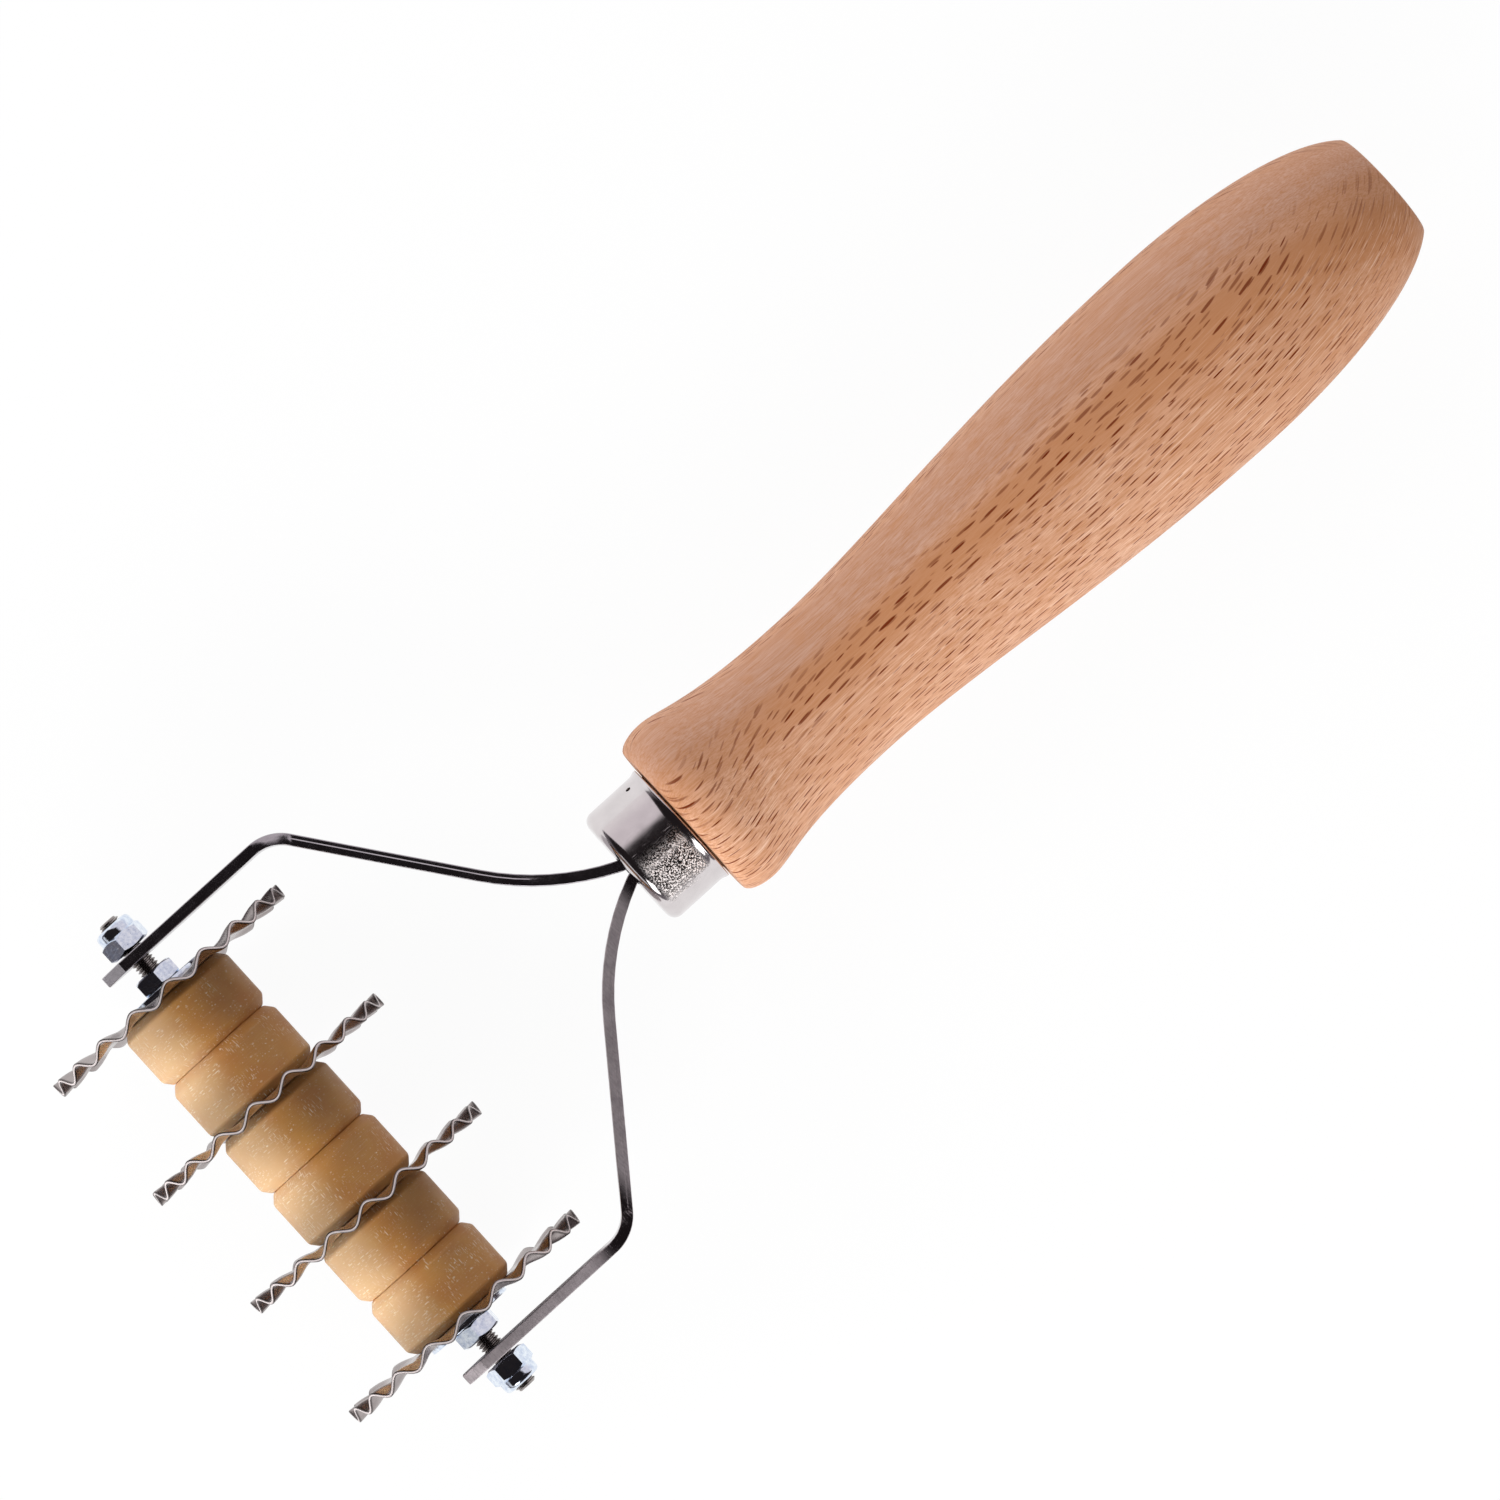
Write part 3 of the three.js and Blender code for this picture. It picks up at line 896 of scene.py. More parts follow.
@dataclass(frozen=True)
class Metal(Finish):
    """A metal finish with clouds of gloss and fine lines.

    The grain of the lines counts along, round and out from the axis that is named, or along X, Y and Z
    where none is. They run the way that it is longest. Where a rim highlight colour is given, the rim is painted
    pale and less metallic as a painted highlight, with a dark ring of painted shade just inside it.
    """

    colour: Colour = (0.7, 0.7, 0.7)
    tint: Colour = (0.6, 0.6, 0.6)
    gloss: Pair = (0.2, 0.3)
    round_axis: Axis | None = None
    radius: float = 1.0
    line_grain: Grain = (0.08, 3.0, 3.0)
    line_level: float = 0.5
    line_depth: float = 0.004
    line_share: float = 0.35
    line_dullness: float = 0.08
    cloud_grain: float = 2.2
    cloud_share: float = 0.6
    pit_grain: float = 0.12
    pit_depth: float = 0.004
    # Painted highlight on the rim: a pale, less metallic colour out from a set radius.
    rim_highlight_colour: Colour | None = None
    rim_highlight_from: Pair = (0.0, 0.0)
    rim_highlight_dullness: float = 0.3
    rim_highlight_metal: float = 0.3
    # Painted shade: a dark ring just inside the rim.
    rim_shade_colour: Colour = (0.05, 0.04, 0.04)
    rim_shade_reach: Pair = (0.35, 0.1)
    rim_shade_share: float = 0.75
    metallic: float = 1.0
    stretches: tuple[Stretch, ...] = ()
    stretch_soft: float = 1.6

    def axial(self, bench: Bench, place: Socket, effects: Effects) -> Socket:
        """The place that the lines follow.

        Args:
            bench: The material's bench.
            place: The place in the tool's frame.
            effects: The shared node groups.

        Returns:
            The place along the axis, round it and out from it, or the plain place.
        """
        if self.round_axis is None:
            return place
        x, y, z = bench.split(place)
        along, side = (x, y) if self.round_axis is Axis.HANDLE else (y, x)
        group = bench.group(effects.round_place, along=along, side=side, up=z, radius=self.radius)
        return group.outputs["Place"]

    def dress(self, bench: Bench, shader: bpy.types.Node, place: Socket, effects: Effects) -> None:
        """Joins the metal's nodes to the shader.

        Args:
            bench: The material's bench.
            shader: Its Principled shader.
            place: The place in the tool's frame.
            effects: The shared node groups.
        """
        follow = self.axial(bench, place, effects)
        lines = bench.group(
            effects.scratches, place=follow, grain=self.line_grain, level=self.line_level
        ).outputs["Mask"]
        clouds = bench.group(effects.cloud, place=place, grain=self.cloud_grain).outputs["Value"]
        pits = bench.noise(place, (self.pit_grain,) * 3)
        shade = bench.blend(bench.math("MULTIPLY", clouds, self.cloud_share), self.colour, self.tint)
        shade = bench.blend(bench.math("MULTIPLY", lines, self.line_share), shade, self.tint)
        dull = bench.span(clouds, 0, 1, *self.gloss)
        dull = bench.math("ADD", dull, bench.math("MULTIPLY", lines, self.line_dullness))
        metal = self.metallic
        # The rim is painted pale and less metallic as a painted highlight, with a dark ring of painted shade just
        # inside it.
        if self.rim_highlight_colour:
            radius = bench.split(follow)[2]
            edge = bench.span(radius, *self.rim_highlight_from)
            rim_shade_from, rim_shade_to = (self.rim_highlight_from[0] - reach for reach in self.rim_shade_reach)
            rim_shade = bench.span(radius, rim_shade_from, rim_shade_to)
            shade = bench.blend(bench.math("MULTIPLY", rim_shade, self.rim_shade_share), shade, self.rim_shade_colour)
            shade = bench.blend(edge, shade, self.rim_highlight_colour)
            dull = bench.math("ADD", dull, bench.math("MULTIPLY", edge, self.rim_highlight_dullness))
            metal = bench.span(edge, 0, 1, self.metallic, self.rim_highlight_metal)
        soft = self.stretch_soft
        for stretch in self.stretches:
            x = bench.split(place)[0]
            begun = bench.span(x, stretch.start - soft, stretch.start + soft)
            rubbed_or_painted_sheen = bench.math("MULTIPLY", begun, bench.span(x, stretch.end + soft, stretch.end - soft))
            dull = bench.math("ADD", dull, bench.math("MULTIPLY", rubbed_or_painted_sheen, stretch.roughness))
            metal = bench.math("ADD", metal, bench.math("MULTIPLY", rubbed_or_painted_sheen, stretch.metal))
        bench.feed(shader.inputs["Metallic"], metal)
        bench.feed(shader.inputs["Base Color"], shade)
        bench.feed(shader.inputs["Roughness"], dull)
        height = bench.math("MULTIPLY", lines, self.line_depth)
        height = bench.math("ADD", height, bench.math("MULTIPLY", pits, self.pit_depth))
        bench.feed(shader.inputs["Normal"], bench.bump(height, 1.0))


@dataclass(frozen=True)
class DrawnNickel(Metal):
    """Bright nickel on a drawn cup, with a patch of drawn grain that is dull and carries painted reflections.

    In the patch the grain's furrows are painted near black for the dark room mirrored there, and its ridges pale
    and less metallic as painted glints; a painted gleam runs along one line, and the grain is painted darker
    towards the top and paler towards the bottom. Behind the patch's front, whatever lies below the cup's outer
    surface, such as the punch mark, is painted near black as shade. The patch's places round the cup count in
    millimetres from its top.
    """

    patch_along: Pair = (54.5, 61.0)
    patch_round: Pair = (0.0, -6.9)
    patch_soft: float = 0.9
    patch_dullness: float = 0.3
    patch_depth: float = 0.03
    ragged_grain: Grain = (2.0, 0.3, 1.0)
    ragged_edge: Pair = (0.2, 0.8)
    drawn_grain: Grain = (0.15, 0.22, 1.0)
    drawn_edge: Pair = (0.43, 0.6)
    drawn_level: float = 0.6
    # Painted reflection: darker towards the top, paler towards the bottom, and a pale gleaming line.
    top_painted_fade: Ramp = (0.8, -2.0, 0.08, 1)
    low_painted_fill: Ramp = (-3.5, -6.9, 0, 0.4)
    painted_gleam_at: float = -1.7
    painted_gleam_fill: Ramp = (0.8, 0, 0, 0.5)
    # Painted reflection: near black in the furrows, pale glints on the ridges.
    painted_near_black: Colour = (0.03, 0.026, 0.026)
    ridge_painted_glint: Colour = (0.95, 0.88, 0.86)
    painted_glint_frost: float = 0.75
    # Painted shade below the cup's outer surface, as in the punch mark.
    hollow_shade_from: Pair = (8.58, 8.45)
    hollow_shade_soft: float = 0.1

    def patch(self, bench: Bench, follow: Socket) -> Socket:
        """The mask of the patch, which has a ragged edge.

        Args:
            bench: The material's bench.
            follow: The place along, round and out from the cup's axis.

        Returns:
            The mask.
        """
        along, around, _ = bench.split(follow)
        (front, back), (top, low), soft = self.patch_along, self.patch_round, self.patch_soft
        stray = bench.span(bench.noise(follow, self.ragged_grain), *self.ragged_edge, -soft, soft)
        ragged = bench.math("ADD", around, stray)
        return bench.product(
            bench.span(ragged, top + soft, top),
            bench.span(ragged, low - soft, low + soft),
            bench.span(along, front - soft / 2, front + soft / 2),
            bench.span(along, back + soft / 2, back - soft / 2),
        )

    def dress(self, bench: Bench, shader: bpy.types.Node, place: Socket, effects: Effects) -> None:
        """Joins the plate's nodes to the shader and lays the patch over them.

        Args:
            bench: The material's bench.
            shader: Its Principled shader.
            place: The place in the tool's frame.
            effects: The shared node groups.
        """
        super().dress(bench, shader, place, effects)
        follow = self.axial(bench, place, effects)
        along, around, out = bench.split(follow)
        patch = self.patch(bench, follow)
        # Painted reflection: the grain is painted near black in its furrows and pale on its ridges, darker towards
        # the top, with a pale fill towards the bottom and a painted gleam along one line.
        drawn = bench.span(bench.noise(follow, self.drawn_grain, detail=1), *self.drawn_edge)
        drawn = bench.math("MULTIPLY", drawn, bench.span(around, *self.top_painted_fade))
        off_painted_gleam = bench.math("ABSOLUTE", bench.math("SUBTRACT", around, self.painted_gleam_at))
        painted_fill = bench.span(around, *self.low_painted_fill)
        painted_fill = bench.math("ADD", painted_fill, bench.span(off_painted_gleam, *self.painted_gleam_fill))
        drawn = bench.math("MAXIMUM", drawn, painted_fill)
        grain = bench.blend(drawn, self.painted_near_black, self.ridge_painted_glint)
        plain = {name: shader.inputs[name].links[0].from_socket for name in ("Base Color", "Roughness")}
        # Painted shade: behind the patch's front, what lies below the cup's outer surface, such as the punch mark
        # and the cup's inside, is painted near black.
        front = self.patch_along[0]
        behind = bench.span(along, front, front + self.hollow_shade_soft)
        hollow = bench.math("MULTIPLY", bench.span(out, *self.hollow_shade_from), behind)
        tint = bench.blend(hollow, bench.blend(patch, plain["Base Color"], grain), self.painted_near_black)
        bench.feed(shader.inputs["Base Color"], tint)
        # The pale ridges are made less metallic, so that their painted glints show under any light.
        frosted_painted_glints = bench.math("MULTIPLY", patch, bench.span(drawn, 0, 1, 0, self.painted_glint_frost))
        bench.feed(shader.inputs["Metallic"], bench.math("SUBTRACT", 1.0, frosted_painted_glints))
        rougher = bench.math("MULTIPLY", patch, self.patch_dullness)
        bench.feed(shader.inputs["Roughness"], bench.math("ADD", plain["Roughness"], rougher))
        raised = bench.math("SUBTRACT", drawn, self.drawn_level)
        height = bench.math("MULTIPLY", raised, bench.math("MULTIPLY", patch, self.patch_depth))
        bench.feed(shader.inputs["Normal"], bench.bump(height, 1.0))


@dataclass(frozen=True)
class TanPlastic(Finish):
    """Turned tan plastic: cloudy, a little translucent, with pale specks and turning marks.

    Its colour is painted paler along one side, the one that the sheen angle gives in degrees from the top, as a
    painted sheen; scuff strokes there are partly painted glints. The specks reach far outwards, so that they are
    the same at every depth.
    """

    slot: str = "tan_plastic"
    name: str = "turned_tan_plastic"
    body: Colour = (0.61, 0.31, 0.09)
    warm: Colour = (0.54, 0.24, 0.075)
    speck: Colour = (0.86, 0.72, 0.52)
    # Painted sheen: the paler colour of one side, as if lit from there, which side, and how strongly.
    rubbed_or_painted_sheen: Colour = (0.76, 0.53, 0.31)
    painted_sheen_angle: float = -52
    painted_sheen_reach: Pair = (0.62, 1.02)
    painted_sheen_share: float = 0.68
    radius: float = 8.5
    cloud_grain: float = 5.0
    mark_grain: Grain = (0.1, 3.5, 3.0)
    mark_level: float = 0.55
    mark_share: float = 0.2
    mark_depth: float = 0.012
    thick_grain: Grain = (3.0, 3.0, 3.0)
    thick_ramp: Ramp = (0.40, 0.58, 0.25, 1.0)
    # Scuff strokes gather on the painted-sheen side: partly scratches, partly painted glints.
    scuff_painted_sheen: Pair = (0.0, 0.4)
    scuff_glint_thick: Pair = (0.42, 0.5)
    bundle_grain: Grain = (4.5, 4.0, 4.5)
    bundle_edge: Pair = (0.53, 0.62)
    dust: Specks = Specks((0.45, 0.5, 99), (0.08, 0.1, 9999), 0.5, tones=(0.16, 0.8))
    crumbs: Specks = Specks((1.1, 1.3, 99), (0.12, 0.2, 9999), 0.55)
    scuff_strokes_and_glints: Specks = Specks((0.45, 1.1, 99), (0.08, 0.5, 9999), 0.8)
    bundles: Specks = Specks((0.95, 0.42, 99), (0.42, 0.075, 9999), 0.8)
    speck_share: float = 0.9
    speck_depth: float = 0.02
    gloss: Pair = (0.44, 0.56)
    specular: float = 0.32
    glow_share: float = 0.15
    glow_colour: Colour = (1.0, 0.55, 0.25)
    glow_depth: float = 1.2

    def specks(self, bench: Bench, place: Socket, follow: Socket, painted_sheen: Socket, effects: Effects) -> Socket:
        """The pale specks, the scuff strokes, which are partly painted glints on the painted-sheen side, and the
        bundles.

        Args:
            bench: The material's bench.
            place: The place in the tool's frame.
            follow: The place along, round and out from the axle.
            painted_sheen: How strongly the paler painted sheen lies there.
            effects: The shared node groups.

        Returns:
            Their mask.
        """
        thick = bench.noise(place, self.thick_grain)
        everywhere = bench.span(thick, *self.thick_ramp)
        # Painted glints: scuff strokes are laid only on the painted-sheen side.
        scuffed_and_glinting = bench.product(bench.span(painted_sheen, *self.scuff_painted_sheen), bench.span(thick, *self.scuff_glint_thick))
        bundled = bench.span(bench.noise(place, self.bundle_grain, detail=1), *self.bundle_edge)
        layers = (
            (self.dust, everywhere),
            (self.crumbs, everywhere),
            (self.scuff_strokes_and_glints, scuffed_and_glinting),
            (self.bundles, bundled),
        )
        specks = 0.0
        for layer, where in layers:
            mask, tone = layer.lay(bench, effects, follow)
            faded = bench.math("MULTIPLY", where, tone)
            specks = bench.math("MAXIMUM", specks, bench.math("MULTIPLY", mask, faded))
        return specks

    def dress(self, bench: Bench, shader: bpy.types.Node, place: Socket, effects: Effects) -> None:
        """Joins the plastic's nodes to the shader.

        Args:
            bench: The material's bench.
            shader: Its Principled shader.
            place: The place in the tool's frame.
            effects: The shared node groups.
        """
        x, y, z = bench.split(place)
        follow = bench.group(effects.round_place, along=y, side=x, up=z, radius=self.radius).outputs["Place"]
        clouds = bench.group(effects.cloud, place=place, grain=self.cloud_grain).outputs["Value"]
        marks = bench.group(
            effects.scratches, place=follow, grain=self.mark_grain, level=self.mark_level
        ).outputs["Mask"]
        # Painted sheen: the side that faces the given angle is painted paler, standing for light on that side.
        angle = math.radians(self.painted_sheen_angle)
        round_way = bench.vector("NORMALIZE", bench.vector("MULTIPLY", place, (1, 0, 1)))
        side = bench.measure("DOT_PRODUCT", round_way, (math.sin(angle), 0, math.cos(angle)))
        painted_sheen = bench.span(side, *self.painted_sheen_reach)
        specks = self.specks(bench, place, follow, painted_sheen, effects)
        tint = bench.blend(clouds, self.body, self.warm)
        tint = bench.blend(bench.math("MULTIPLY", painted_sheen, self.painted_sheen_share), tint, self.rubbed_or_painted_sheen)
        tint = bench.blend(bench.math("MULTIPLY", marks, self.mark_share), tint, self.speck)
        tint = bench.blend(bench.math("MULTIPLY", specks, self.speck_share), tint, self.speck)
        bench.feed(shader.inputs["Base Color"], tint)
        bench.feed(shader.inputs["Roughness"], bench.span(clouds, 0, 1, *self.gloss))
        shader.inputs["Specular IOR Level"].default_value = self.specular
        shader.inputs["Subsurface Weight"].default_value = self.glow_share
        shader.inputs["Subsurface Radius"].default_value = self.glow_colour
        shader.inputs["Subsurface Scale"].default_value = self.glow_depth * MM
        relief = bench.math("MULTIPLY", marks, self.mark_depth)
        relief = bench.math("ADD", relief, bench.math("MULTIPLY", specks, self.speck_depth))
        bench.feed(shader.inputs["Normal"], bench.bump(relief, 1.0))


@dataclass(frozen=True)
class Nylon(Finish):
    """Natural nylon, milky and satin."""

    slot: str = "nylon"
    name: str = "milky_nylon"
    colour: Colour = (0.72, 0.73, 0.70)
    shade: Colour = (0.60, 0.62, 0.60)
    cloud_grain: float = 0.8
    cloud_depth: float = 0.01
    gloss: Pair = (0.4, 0.55)

    def dress(self, bench: Bench, shader: bpy.types.Node, place: Socket, effects: Effects) -> None:
        """Joins the nylon's nodes to the shader.

        Args:
            bench: The material's bench.
            shader: Its Principled shader.
            place: The place in the tool's frame.
            effects: The shared node groups.
        """
        clouds = bench.group(effects.cloud, place=place, grain=self.cloud_grain).outputs["Value"]
        bench.feed(shader.inputs["Base Color"], bench.blend(clouds, self.colour, self.shade))
        bench.feed(shader.inputs["Roughness"], bench.span(clouds, 0, 1, *self.gloss))
        bench.feed(shader.inputs["Normal"], bench.bump(clouds, self.cloud_depth))


BEECH = Beech()
NICKEL = DrawnNickel(
    "nickel",
    "bright_nickel",
    colour=(0.72, 0.675, 0.68),
    tint=(0.64, 0.60, 0.605),
    gloss=(0.10, 0.15),
    round_axis=Axis.HANDLE,
    radius=8.7,
    line_grain=(0.9, 0.1, 3.0),
    line_depth=0.0015,
    pit_grain=0.14,
    pit_depth=0.003,
)
POLISHED_STRIP = Metal(
    "strip_steel",
    "polished_strip",
    colour=(0.50, 0.47, 0.50),
    tint=(0.36, 0.34, 0.36),
    gloss=(0.14, 0.22),
    line_grain=(6.0, 0.1, 0.1),
    line_depth=0.003,
)
BRUSHED_STRIP = Metal(
    "strip_steel",
    "brushed_strip",
    colour=(0.56, 0.50, 0.52),
    tint=(0.27, 0.24, 0.25),
    gloss=(0.48, 0.60),
    line_grain=(0.2, 1.2, 0.2),
    line_level=0.45,
    line_depth=0.012,
    line_share=0.6,
    metallic=0.8,
    stretches=(Stretch(-20, 16.5, 0.0, -0.32), Stretch(18.5, 26, -0.4, 0.2), Stretch(50.5, 99, -0.4, 0.2)),
)
BLADE_STEEL = Metal(
    "blade_steel",
    "pressed_blade_steel",
    colour=(0.42, 0.375, 0.37),
    tint=(0.30, 0.26, 0.255),
    gloss=(0.2, 0.32),
    round_axis=Axis.AXLE,
    radius=19.0,
    line_grain=(0.4, 0.12, 2.0),
    line_level=0.52,
    # Painted highlight on the rim, with a dark ring of painted shade just inside it.
    rim_highlight_colour=(0.92, 0.83, 0.82),
    rim_highlight_from=(18.96, 18.993),
)
ZINC = Metal(
    "zinc",
    "blue_white_zinc",
    colour=(0.88, 0.94, 1.0),
    tint=(0.50, 0.58, 0.76),
    gloss=(0.05, 0.13),
    round_axis=Axis.AXLE,
    radius=3.0,
    line_grain=(0.15, 0.5, 0.5),
    line_level=0.55,
    cloud_grain=0.6,
    cloud_share=0.8,
    pit_grain=0.4,
    pit_depth=0.014,
)
DARK_THREAD = Metal(
    "zinc",
    "dark_thread",
    colour=(0.40, 0.37, 0.36),
    tint=(0.24, 0.21, 0.20),
    gloss=(0.18, 0.3),
    round_axis=Axis.AXLE,
    radius=1.5,
    line_grain=(0.1, 0.6, 0.5),
    line_depth=0.003,
    pit_grain=0.2,
    pit_depth=0.006,
)
TAN_PLASTIC = TanPlastic()
NYLON = Nylon()
FINISHES = (BEECH, NICKEL, POLISHED_STRIP, BRUSHED_STRIP, BLADE_STEEL, ZINC, DARK_THREAD, TAN_PLASTIC, NYLON)


@dataclass
class Piece:
    """A finished piece, the solid that it stands for and its finish."""

    shape: bpy.types.Object
    node: str
    finish: Finish


class SubAssembly:
    """A group of pieces that are built and dressed together."""

    def build(self) -> list[Piece]:
        """Models the pieces in the tool's frame.

        Returns:
            The pieces.
        """
        raise NotImplementedError

    def dress(self, pieces: Sequence[Piece], wardrobe: dict[Finish, bpy.types.Material]) -> None:
        """Sets the pieces in place, gives them their materials and hands them to the frame.

        Args:
            pieces: The pieces that build made.
            wardrobe: The material of each finish.
        """
        for piece in pieces:
            set_in_place(piece.shape)
            piece.shape.data.materials.clear()
            piece.shape.data.materials.append(wardrobe[piece.finish])
            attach(piece.shape, body_of(piece.node))
            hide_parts(piece.node)
            faces = len(piece.shape.data.polygons)
            LOG.info("%s stands for %s: %d faces", piece.shape.name, piece.node, faces)


@dataclass
class Handle(SubAssembly):
    """The turned wooden handle, with its spigot and the slot for the two tangs."""

    front_run: float = 3.9
    neck_run: float = 21.4
    belly_run: float = 63.3
    butt_run: float = 31.4
    front_round_depth: float = 1.6
    flare_radius: float = 12.8
    neck_radius: float = 10.68
    belly_radius: float = 14.48
    butt_radius: float = 7.7
    butt_shoulder_length: float = 5.9
    butt_shoulder_rise: float = 5.4
    butt_edge_round: float = 0.4
    flare_pull: float = 0.15
    neck_pulls: Pair = (0.72, 0.25)
    belly_pulls: Pair = (0.45, 0.31)
    spigot_radius: float = 7.56
    slot_half_width: float = 5.3
    slot_half_height: float = 2.16
    slot_overrun: float = 1.0
    outline_steps: tuple[int, int, int, int] = (10, 20, 28, 24)
    edge_angle: float = 45
    sides: int = 160

    def outline(self, front: float) -> list[Pair]:
        """The outline behind the front face.

        Args:
            front: Where the front face stands along the handle.

        Returns:
            Pairs of the place along the handle and the radius.
        """
        flare = front + self.front_run
        neck = flare + self.neck_run
        belly = neck + self.belly_run
        butt = belly + self.butt_run
        neck_in, neck_out = self.neck_pulls
        belly_in, belly_out = self.belly_pulls
        front_steps, neck_steps, belly_steps, butt_steps = self.outline_steps
        rounding = arc(
            (flare, self.flare_radius - self.front_round_depth),
            (self.front_run, self.front_round_depth),
            180,
            90,
            front_steps,
        )
        to_neck = bezier(
            [
                (flare, self.flare_radius),
                (flare + self.flare_pull * self.neck_run, self.flare_radius),
                (neck - neck_in * self.neck_run, self.neck_radius),
                (neck, self.neck_radius),
            ],
            neck_steps,
        )
        to_belly = bezier(
            [
                (neck, self.neck_radius),
                (neck + neck_out * self.belly_run, self.neck_radius),
                (belly - belly_in * self.belly_run, self.belly_radius),
                (belly, self.belly_radius),
            ],
            belly_steps,
        )
        to_butt = bezier(
            [
                (belly, self.belly_radius),
                (belly + belly_out * self.butt_run, self.belly_radius),
                (butt - self.butt_shoulder_length, self.butt_radius + self.butt_shoulder_rise),
                (butt, self.butt_radius),
            ],
            butt_steps,
        )
        return rounding + to_neck + to_belly + to_butt

    def build(self) -> list[Piece]:
        """Turns the handle and cuts its slot.

        Returns:
            The handle.
        """
        low, high = tool_box("wooden_handle")
        spigot_front, butt = low.x, high.x
        front = butt - (self.front_run + self.neck_run + self.belly_run + self.butt_run)
        profile = [(spigot_front, 0), (spigot_front, self.spigot_radius), (front, self.spigot_radius)]
        profile += self.outline(front) + [(butt, 0)]
        handle = turned("turned_handle", profile, Axis.HANDLE, self.sides)
        soften(handle, self.butt_edge_round, angle=self.edge_angle)
        slot_end = tool_box("arm_left")[1].x
        slot_start = spigot_front - self.slot_overrun
        bpy.ops.object.select_all(action="DESELECT")
        bpy.ops.mesh.primitive_cube_add(size=2, location=((slot_start + slot_end) / 2, 0, 0))
        slot = started("tang_slot")
        slot.scale = ((slot_end - slot_start) / 2, self.slot_half_height, self.slot_half_width)
        shape_with(handle, slot)
        tidy_skin(handle)
        return [Piece(handle, "wooden_handle", BEECH)]


@dataclass
class Ferrule(SubAssembly):
    """The plated cup that closes the handle's front end, with a slot for the tangs and a punch mark."""

    wall: float = 0.8
    edge_round: float = 1.4
    lip_length: float = 1.3
    lip_sweep: float = 30
    lip_sweep_radius: float = 1.9
    lip_round: float = 0.1
    lip_angle: float = 60
    edge_steps: int = 10
    lip_steps: int = 8
    slot_half_width: float = 5.3
    slot_half_height: float = 2.16
    punch_sides: int = 16
    punch_taper: Pair = (0.7, 1.3)
    punch_radius: float = 0.36
    punch_depth: float = 0.6
    punch_from_handle: float = 2.3
    punch_angle: float = 62
    sides: int = 128

    def build(self) -> list[Piece]:
        """Turns the cup, cuts its slot and sinks the punch mark.

        Returns:
            The cup.
        """
        low, high = tool_box("ferrule")
        front, back, radius = low.x, high.x, high.z
        inner = radius - self.wall
        lip = back - self.lip_length
        rounding = self.edge_round
        hollow = self.lip_sweep_radius
        profile = [(front, 0)]
        profile += arc((front + rounding, radius - rounding), (rounding, rounding), 180, 90, self.edge_steps)
        profile += arc((lip, radius + hollow), (hollow, hollow), -90, self.lip_sweep - 90, self.lip_steps)
        profile += [(back, profile[-1][1]), (back, inner), (front + self.wall, inner), (front + self.wall, 0)]
        cup = turned("ferrule_cup", profile, Axis.HANDLE, self.sides)
        soften(cup, self.lip_round, angle=self.lip_angle)
        bpy.ops.object.select_all(action="DESELECT")
        bpy.ops.mesh.primitive_cube_add(size=2, location=(front, 0, 0))
        slot = started("cup_slot")
        slot.scale = (2 * self.wall, self.slot_half_height, self.slot_half_width)
        shape_with(cup, slot)
        angle = math.radians(self.punch_angle)
        outward = Vector((0, math.sin(angle), math.cos(angle)))
        tip, top = self.punch_taper
        bpy.ops.object.select_all(action="DESELECT")
        bpy.ops.mesh.primitive_cone_add(
            vertices=self.punch_sides,
            radius1=tip * self.punch_radius,
            radius2=top * self.punch_radius,
            depth=2 * self.punch_depth,
            location=Vector((back - self.punch_from_handle, 0, 0)) + outward * radius,
            rotation=(-angle, 0, 0),
        )
        shape_with(cup, started("punch_mark"))
        tidy_skin(cup)
        return [Piece(cup, "ferrule", NICKEL)]


